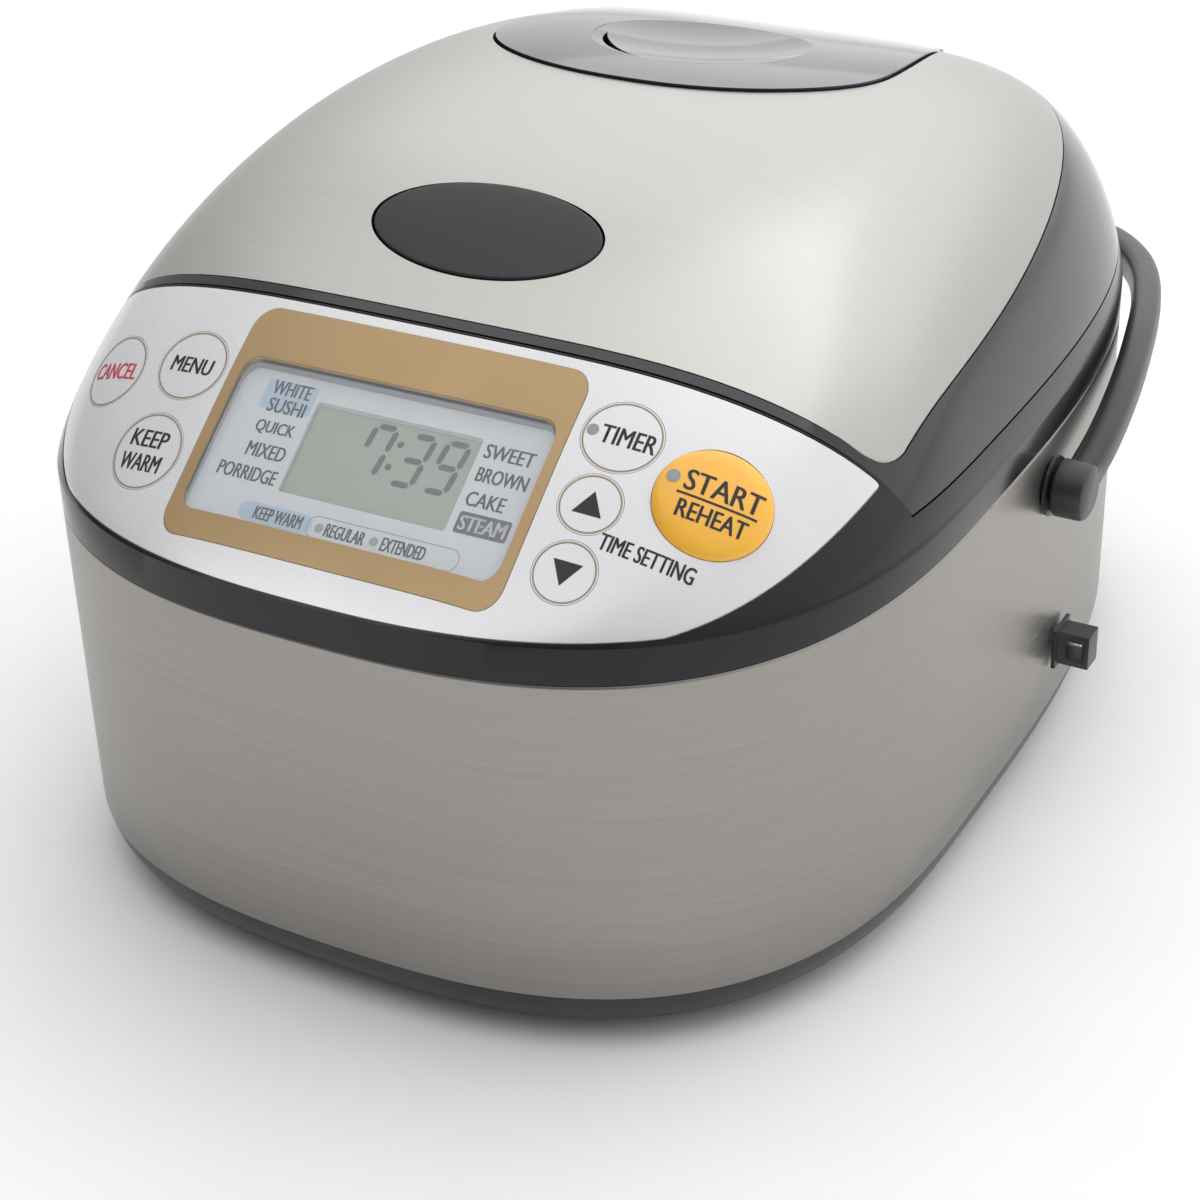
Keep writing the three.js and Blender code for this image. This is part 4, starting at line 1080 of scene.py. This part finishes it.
def key_prints():
    for name, x, y, across, along in KEYS[:-1]:
        ring_mesh(name + "_ring", across - 0.8, along - 0.8, 0.45, panel_spot(x, y, 0.05), "gold_line", name)
    spots = {name: panel_spot(x, y) for name, x, y, across, along in KEYS}
    spots["key_start"] = start_spot
    rows = [("CANCEL", "key_cancel", 0, 0, 18.6, 5.0), ("MENU", "key_menu", 0, 0, 13.4, 4.7),
            ("KEEP", "key_keep_warm", -0.6, 3.6, 12.4, 4.9), ("WARM", "key_keep_warm", -0.6, -3.4, 13.6, 4.9),
            ("TIMER", "key_timer", 1.8, 0, 15.0, 5.0), ("START", "key_start", 1.6, 3.4, 20.0, 5.6),
            ("REHEAT", "key_start", 1.0, -4.2, 18.0, 4.6)]
    for text, key, u, v, width, height in rows:
        look = "red_ink" if text == "CANCEL" else "ink"
        lettering("print_" + text.lower(), text, (u, v), width, height, spots[key], look, key)
    line = [(-9.5, -0.8), (11.5, -0.8), (11.5, -0.2), (-9.5, -0.2)]
    marks = [("timer_lamp", "key_timer", disc(1.6, (-8.2, 0.2)), "grey_print_and_well_shade"),
             ("print_up", "key_up", [(-4, -2.9), (4, -2.9), (0, 3.6)], "ink"),
             ("print_down", "key_down", [(-4, 2.9), (0, -3.6), (4, 2.9)], "ink"),
             ("print_start_line", "key_start", line, "ink"),
             ("start_lamp", "key_start", disc(1.7, (-11.6, 3.0)), "grey_print_and_well_shade")]
    for name, key, points, look in marks:
        outline_mesh(name, [points], spots[key], look, key)
    lettering("print_time_setting", "TIME SETTING", (0.6, 0.4), 25.0, 4.4, panel_spot(81.1, -100.8),
              "ink", "cooker_body", turn=-0.06)


def patch(u, v, width, height, corner=0.8):
    part = dict(half_width=width / 2, low=-height / 2, high=height / 2, corner=corner)
    return [(u + x, v + y) for x, y in rounded_rectangle(part)]


def card_word_spot(u, v):
    """The card's v runs down the slope, so lettering on it is turned over."""
    return card_spot(u, -v)


def card_patch_spot(u, v):
    return card_spot(u, v, 0.04)


def lcd_spot(u, v):
    return card_spot(u, v, -1.22)


def display_prints():
    body = "cooker_body"
    blue = [patch(-32.0, 6.7, 15.8, 8.6), patch(-20.3, 39.8, 22.5, 5.4, 2.6)]
    outline_mesh("patch_white", blue, card_patch_spot, "card_blue", body)
    outline_mesh("patch_steam", [patch(37.2, 29.2, 15.2, 6.0)], card_patch_spot, "card_dark", body)
    rows = [("WHITE", -31.9, 4.5, 11.8), ("SUSHI", -31.4, 9.6, 11.4), ("QUICK", -31.9, 16.3, 11.8),
            ("MIXED", -31.4, 22.9, 11.8), ("PORRIDGE", -34.0, 29.8, 18.0), ("SWEET", 36.4, 9.0, 14.2),
            ("BROWN", 37.0, 15.6, 14.6), ("CAKE", 35.2, 22.5, 11.0), ("STEAM", 37.2, 29.2, 13.2),
            ("KEEP WARM", -19.4, 39.8, 14.6), ("REGULAR", 1.2, 39.9, 11.8), ("EXTENDED", 18.7, 39.9, 12.8)]
    for text, u, v, width in rows:
        look = "white_ink" if text == "STEAM" else "ink"
        name = "print_" + text.lower().replace(" ", "_") + "_mode"
        lettering(name, text, (u, -v), width, 3.7 if v > 35 else 4.1, card_word_spot, look, body)
    lamps = [disc(1.3, (-6.7, 39.9)), disc(1.3, (9.9, 39.9))]
    outline_mesh("mode_lamps", lamps, card_spot, "grey_print_and_well_shade", body)
    edges = patch(12.2, 39.8, 45.6, 6.4, 3.0) + patch(12.2, 39.8, 45.0, 5.8, 2.7)
    vertices = [card_spot(u, v) for u, v in edges]
    pill = new_object("pill_line", vertices, band_faces(2, len(vertices) // 2))
    show(finish_shape(pill, "pill_line"), body, "grey_print_and_well_shade")
    segments = {"7": "abcf", "3": "abcdg", "9": "abcdfg"}
    for digit, u, v in (("7", -1.5, 14.7), ("3", 10.2, 15.1), ("9", 20.3, 14.9)):
        outline_mesh("digit_" + digit, digit_bars(segments[digit], u, v), lcd_spot, "lcd_digit", body)
    dots = [disc(0.95, (4.9, 11.5), 12), disc(0.95, (4.1, 18.2), 12)]
    outline_mesh("digit_colon", dots, lcd_spot, "lcd_digit", body)


def digit_bars(names, u, v):
    """Slanted seven-segment bars round (u, v)."""
    half_width, half_height, line, slant = 3.1, 7.0, 0.85, 0.12
    ends = {"a": ((-1, -1), (1, -1)), "b": ((1, -1), (1, 0)), "c": ((1, 0), (1, 1)), "d": ((-1, 1), (1, 1)),
            "f": ((-1, -1), (-1, 0)), "g": ((-1, 0), (1, 0))}
    bars = []
    for name in names:
        (x0, y0), (x1, y1) = [(x * half_width, y * half_height) for x, y in ends[name]]
        along = Vector((x1 - x0, y1 - y0)).normalized()
        across = Vector((-along.y, along.x)) * line
        start, end = Vector((x0, y0)) + along * 0.35, Vector((x1, y1)) - along * 0.35
        points = [start, start + along * line + across, end - along * line + across, end,
                  end - along * line - across, start + along * line - across]
        bars.append([(u + p.x - p.y * slant, v + p.y) for p in points])
    return bars


# ---- Camera, light and floor ----
def camera():
    azimuth, elevation, roll = math.radians(29.67), math.radians(29.77), math.radians(-1.74)
    data = bpy.data.cameras.new("camera")
    data.lens, data.sensor_width = 78.0, 36.0
    thing = add_object("camera", data)
    level = math.cos(elevation)
    back = Vector((math.sin(azimuth) * level, -math.cos(azimuth) * level, math.sin(elevation)))
    side = Vector((0, 0, 1)).cross(back).normalized()
    up = back.cross(side)
    right = side * math.cos(roll) + up * math.sin(roll)
    over = up * math.cos(roll) - side * math.sin(roll)
    turn = Matrix((right, over, back)).transposed().to_4x4()
    thing.matrix_world = Matrix.Translation(place((344.61, -585.38, 444.55))) @ turn
    data.clip_end = 20
    bpy.context.scene.camera = thing


def area_light(name, spot, target, size, power):
    data = bpy.data.lights.new(name, "AREA")
    data.shape = "RECTANGLE"
    data.size, data.size_y = size
    data.energy = power
    thing = add_object(name, data)
    thing.location = spot
    thing.rotation_euler = (Vector(target) - Vector(spot)).to_track_quat("-Z", "Y").to_euler()


def soft_sky():
    """A white studio, brightest above and behind the cooker and darkest in front of it."""
    world = bpy.data.worlds.new("studio")
    world.use_nodes = True
    nodes, links = world.node_tree.nodes, world.node_tree.links
    source = nodes.new("ShaderNodeTexCoord")
    facing = nodes.new("ShaderNodeVectorMath")
    facing.operation = "DOT_PRODUCT"
    facing.inputs[1].default_value = (0.28, 0.72, 0.63)
    links.new(source.outputs["Generated"], facing.inputs[0])
    strength = remapped(nodes, links, facing.outputs["Value"], -0.35, 0.6, 0.16, 1.12)
    links.new(strength, nodes["Background"].inputs["Strength"])
    nodes["Background"].inputs["Color"].default_value = (0.985, 0.99, 1, 1)
    bpy.context.scene.world = world


def studio():
    soft_sky()
    bpy.context.scene.view_settings.view_transform = "Standard"
    area_light("behind", (0.3, 1.5, 1.6), (0, 0.1, 0), (3.8, 2.4), 12)
    area_light("overhead", (0.1, -0.1, 2.0), (0, 0, 0.1), (3.0, 2.0), 11)
    floor = new_object("floor", [(-6, -6, 0), (6, -6, 0), (6, 6, 0), (-6, 6, 0)], [(0, 1, 2, 3)])
    plain_material("floor_paper", (0.95, 0.95, 0.95), (0.97, 0.97, 0.97), 0.7, 0.05, 40.0, 0.0)
    floor.data.materials.append(LOOKS["floor_paper"])


def dress_cad_nodes():
    """Gives each CAD node that stays in view its material."""
    looks = {"base_screw_": "plated", "control_board": "board", "power_board": "board",
             "side_heater": "plated", "cord_": "satin_black", "handle_pivot_": "satin_black",
             "hinge_pin": "plated", "latch_catch": "plated", "latch_hook": "satin_black", "steam_duct": "silicone",
             "steam_vent_base": "satin_black"}
    for node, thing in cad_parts.items():
        for start, look in looks.items():
            if node.startswith(start):
                for index in range(len(thing.material_slots)):
                    thing.material_slots[index].material = LOOKS[look]


STEPS = [camera, studio, dress_cad_nodes, side_wrap, base_tray, frame_piece, control_panel, key_pieces,
         display, lid_shell, lid_plate, vent_set, lid_button, round_pieces, carry_handle,
         spoon_bracket, key_prints, display_prints]
for step in STEPS:
    step()
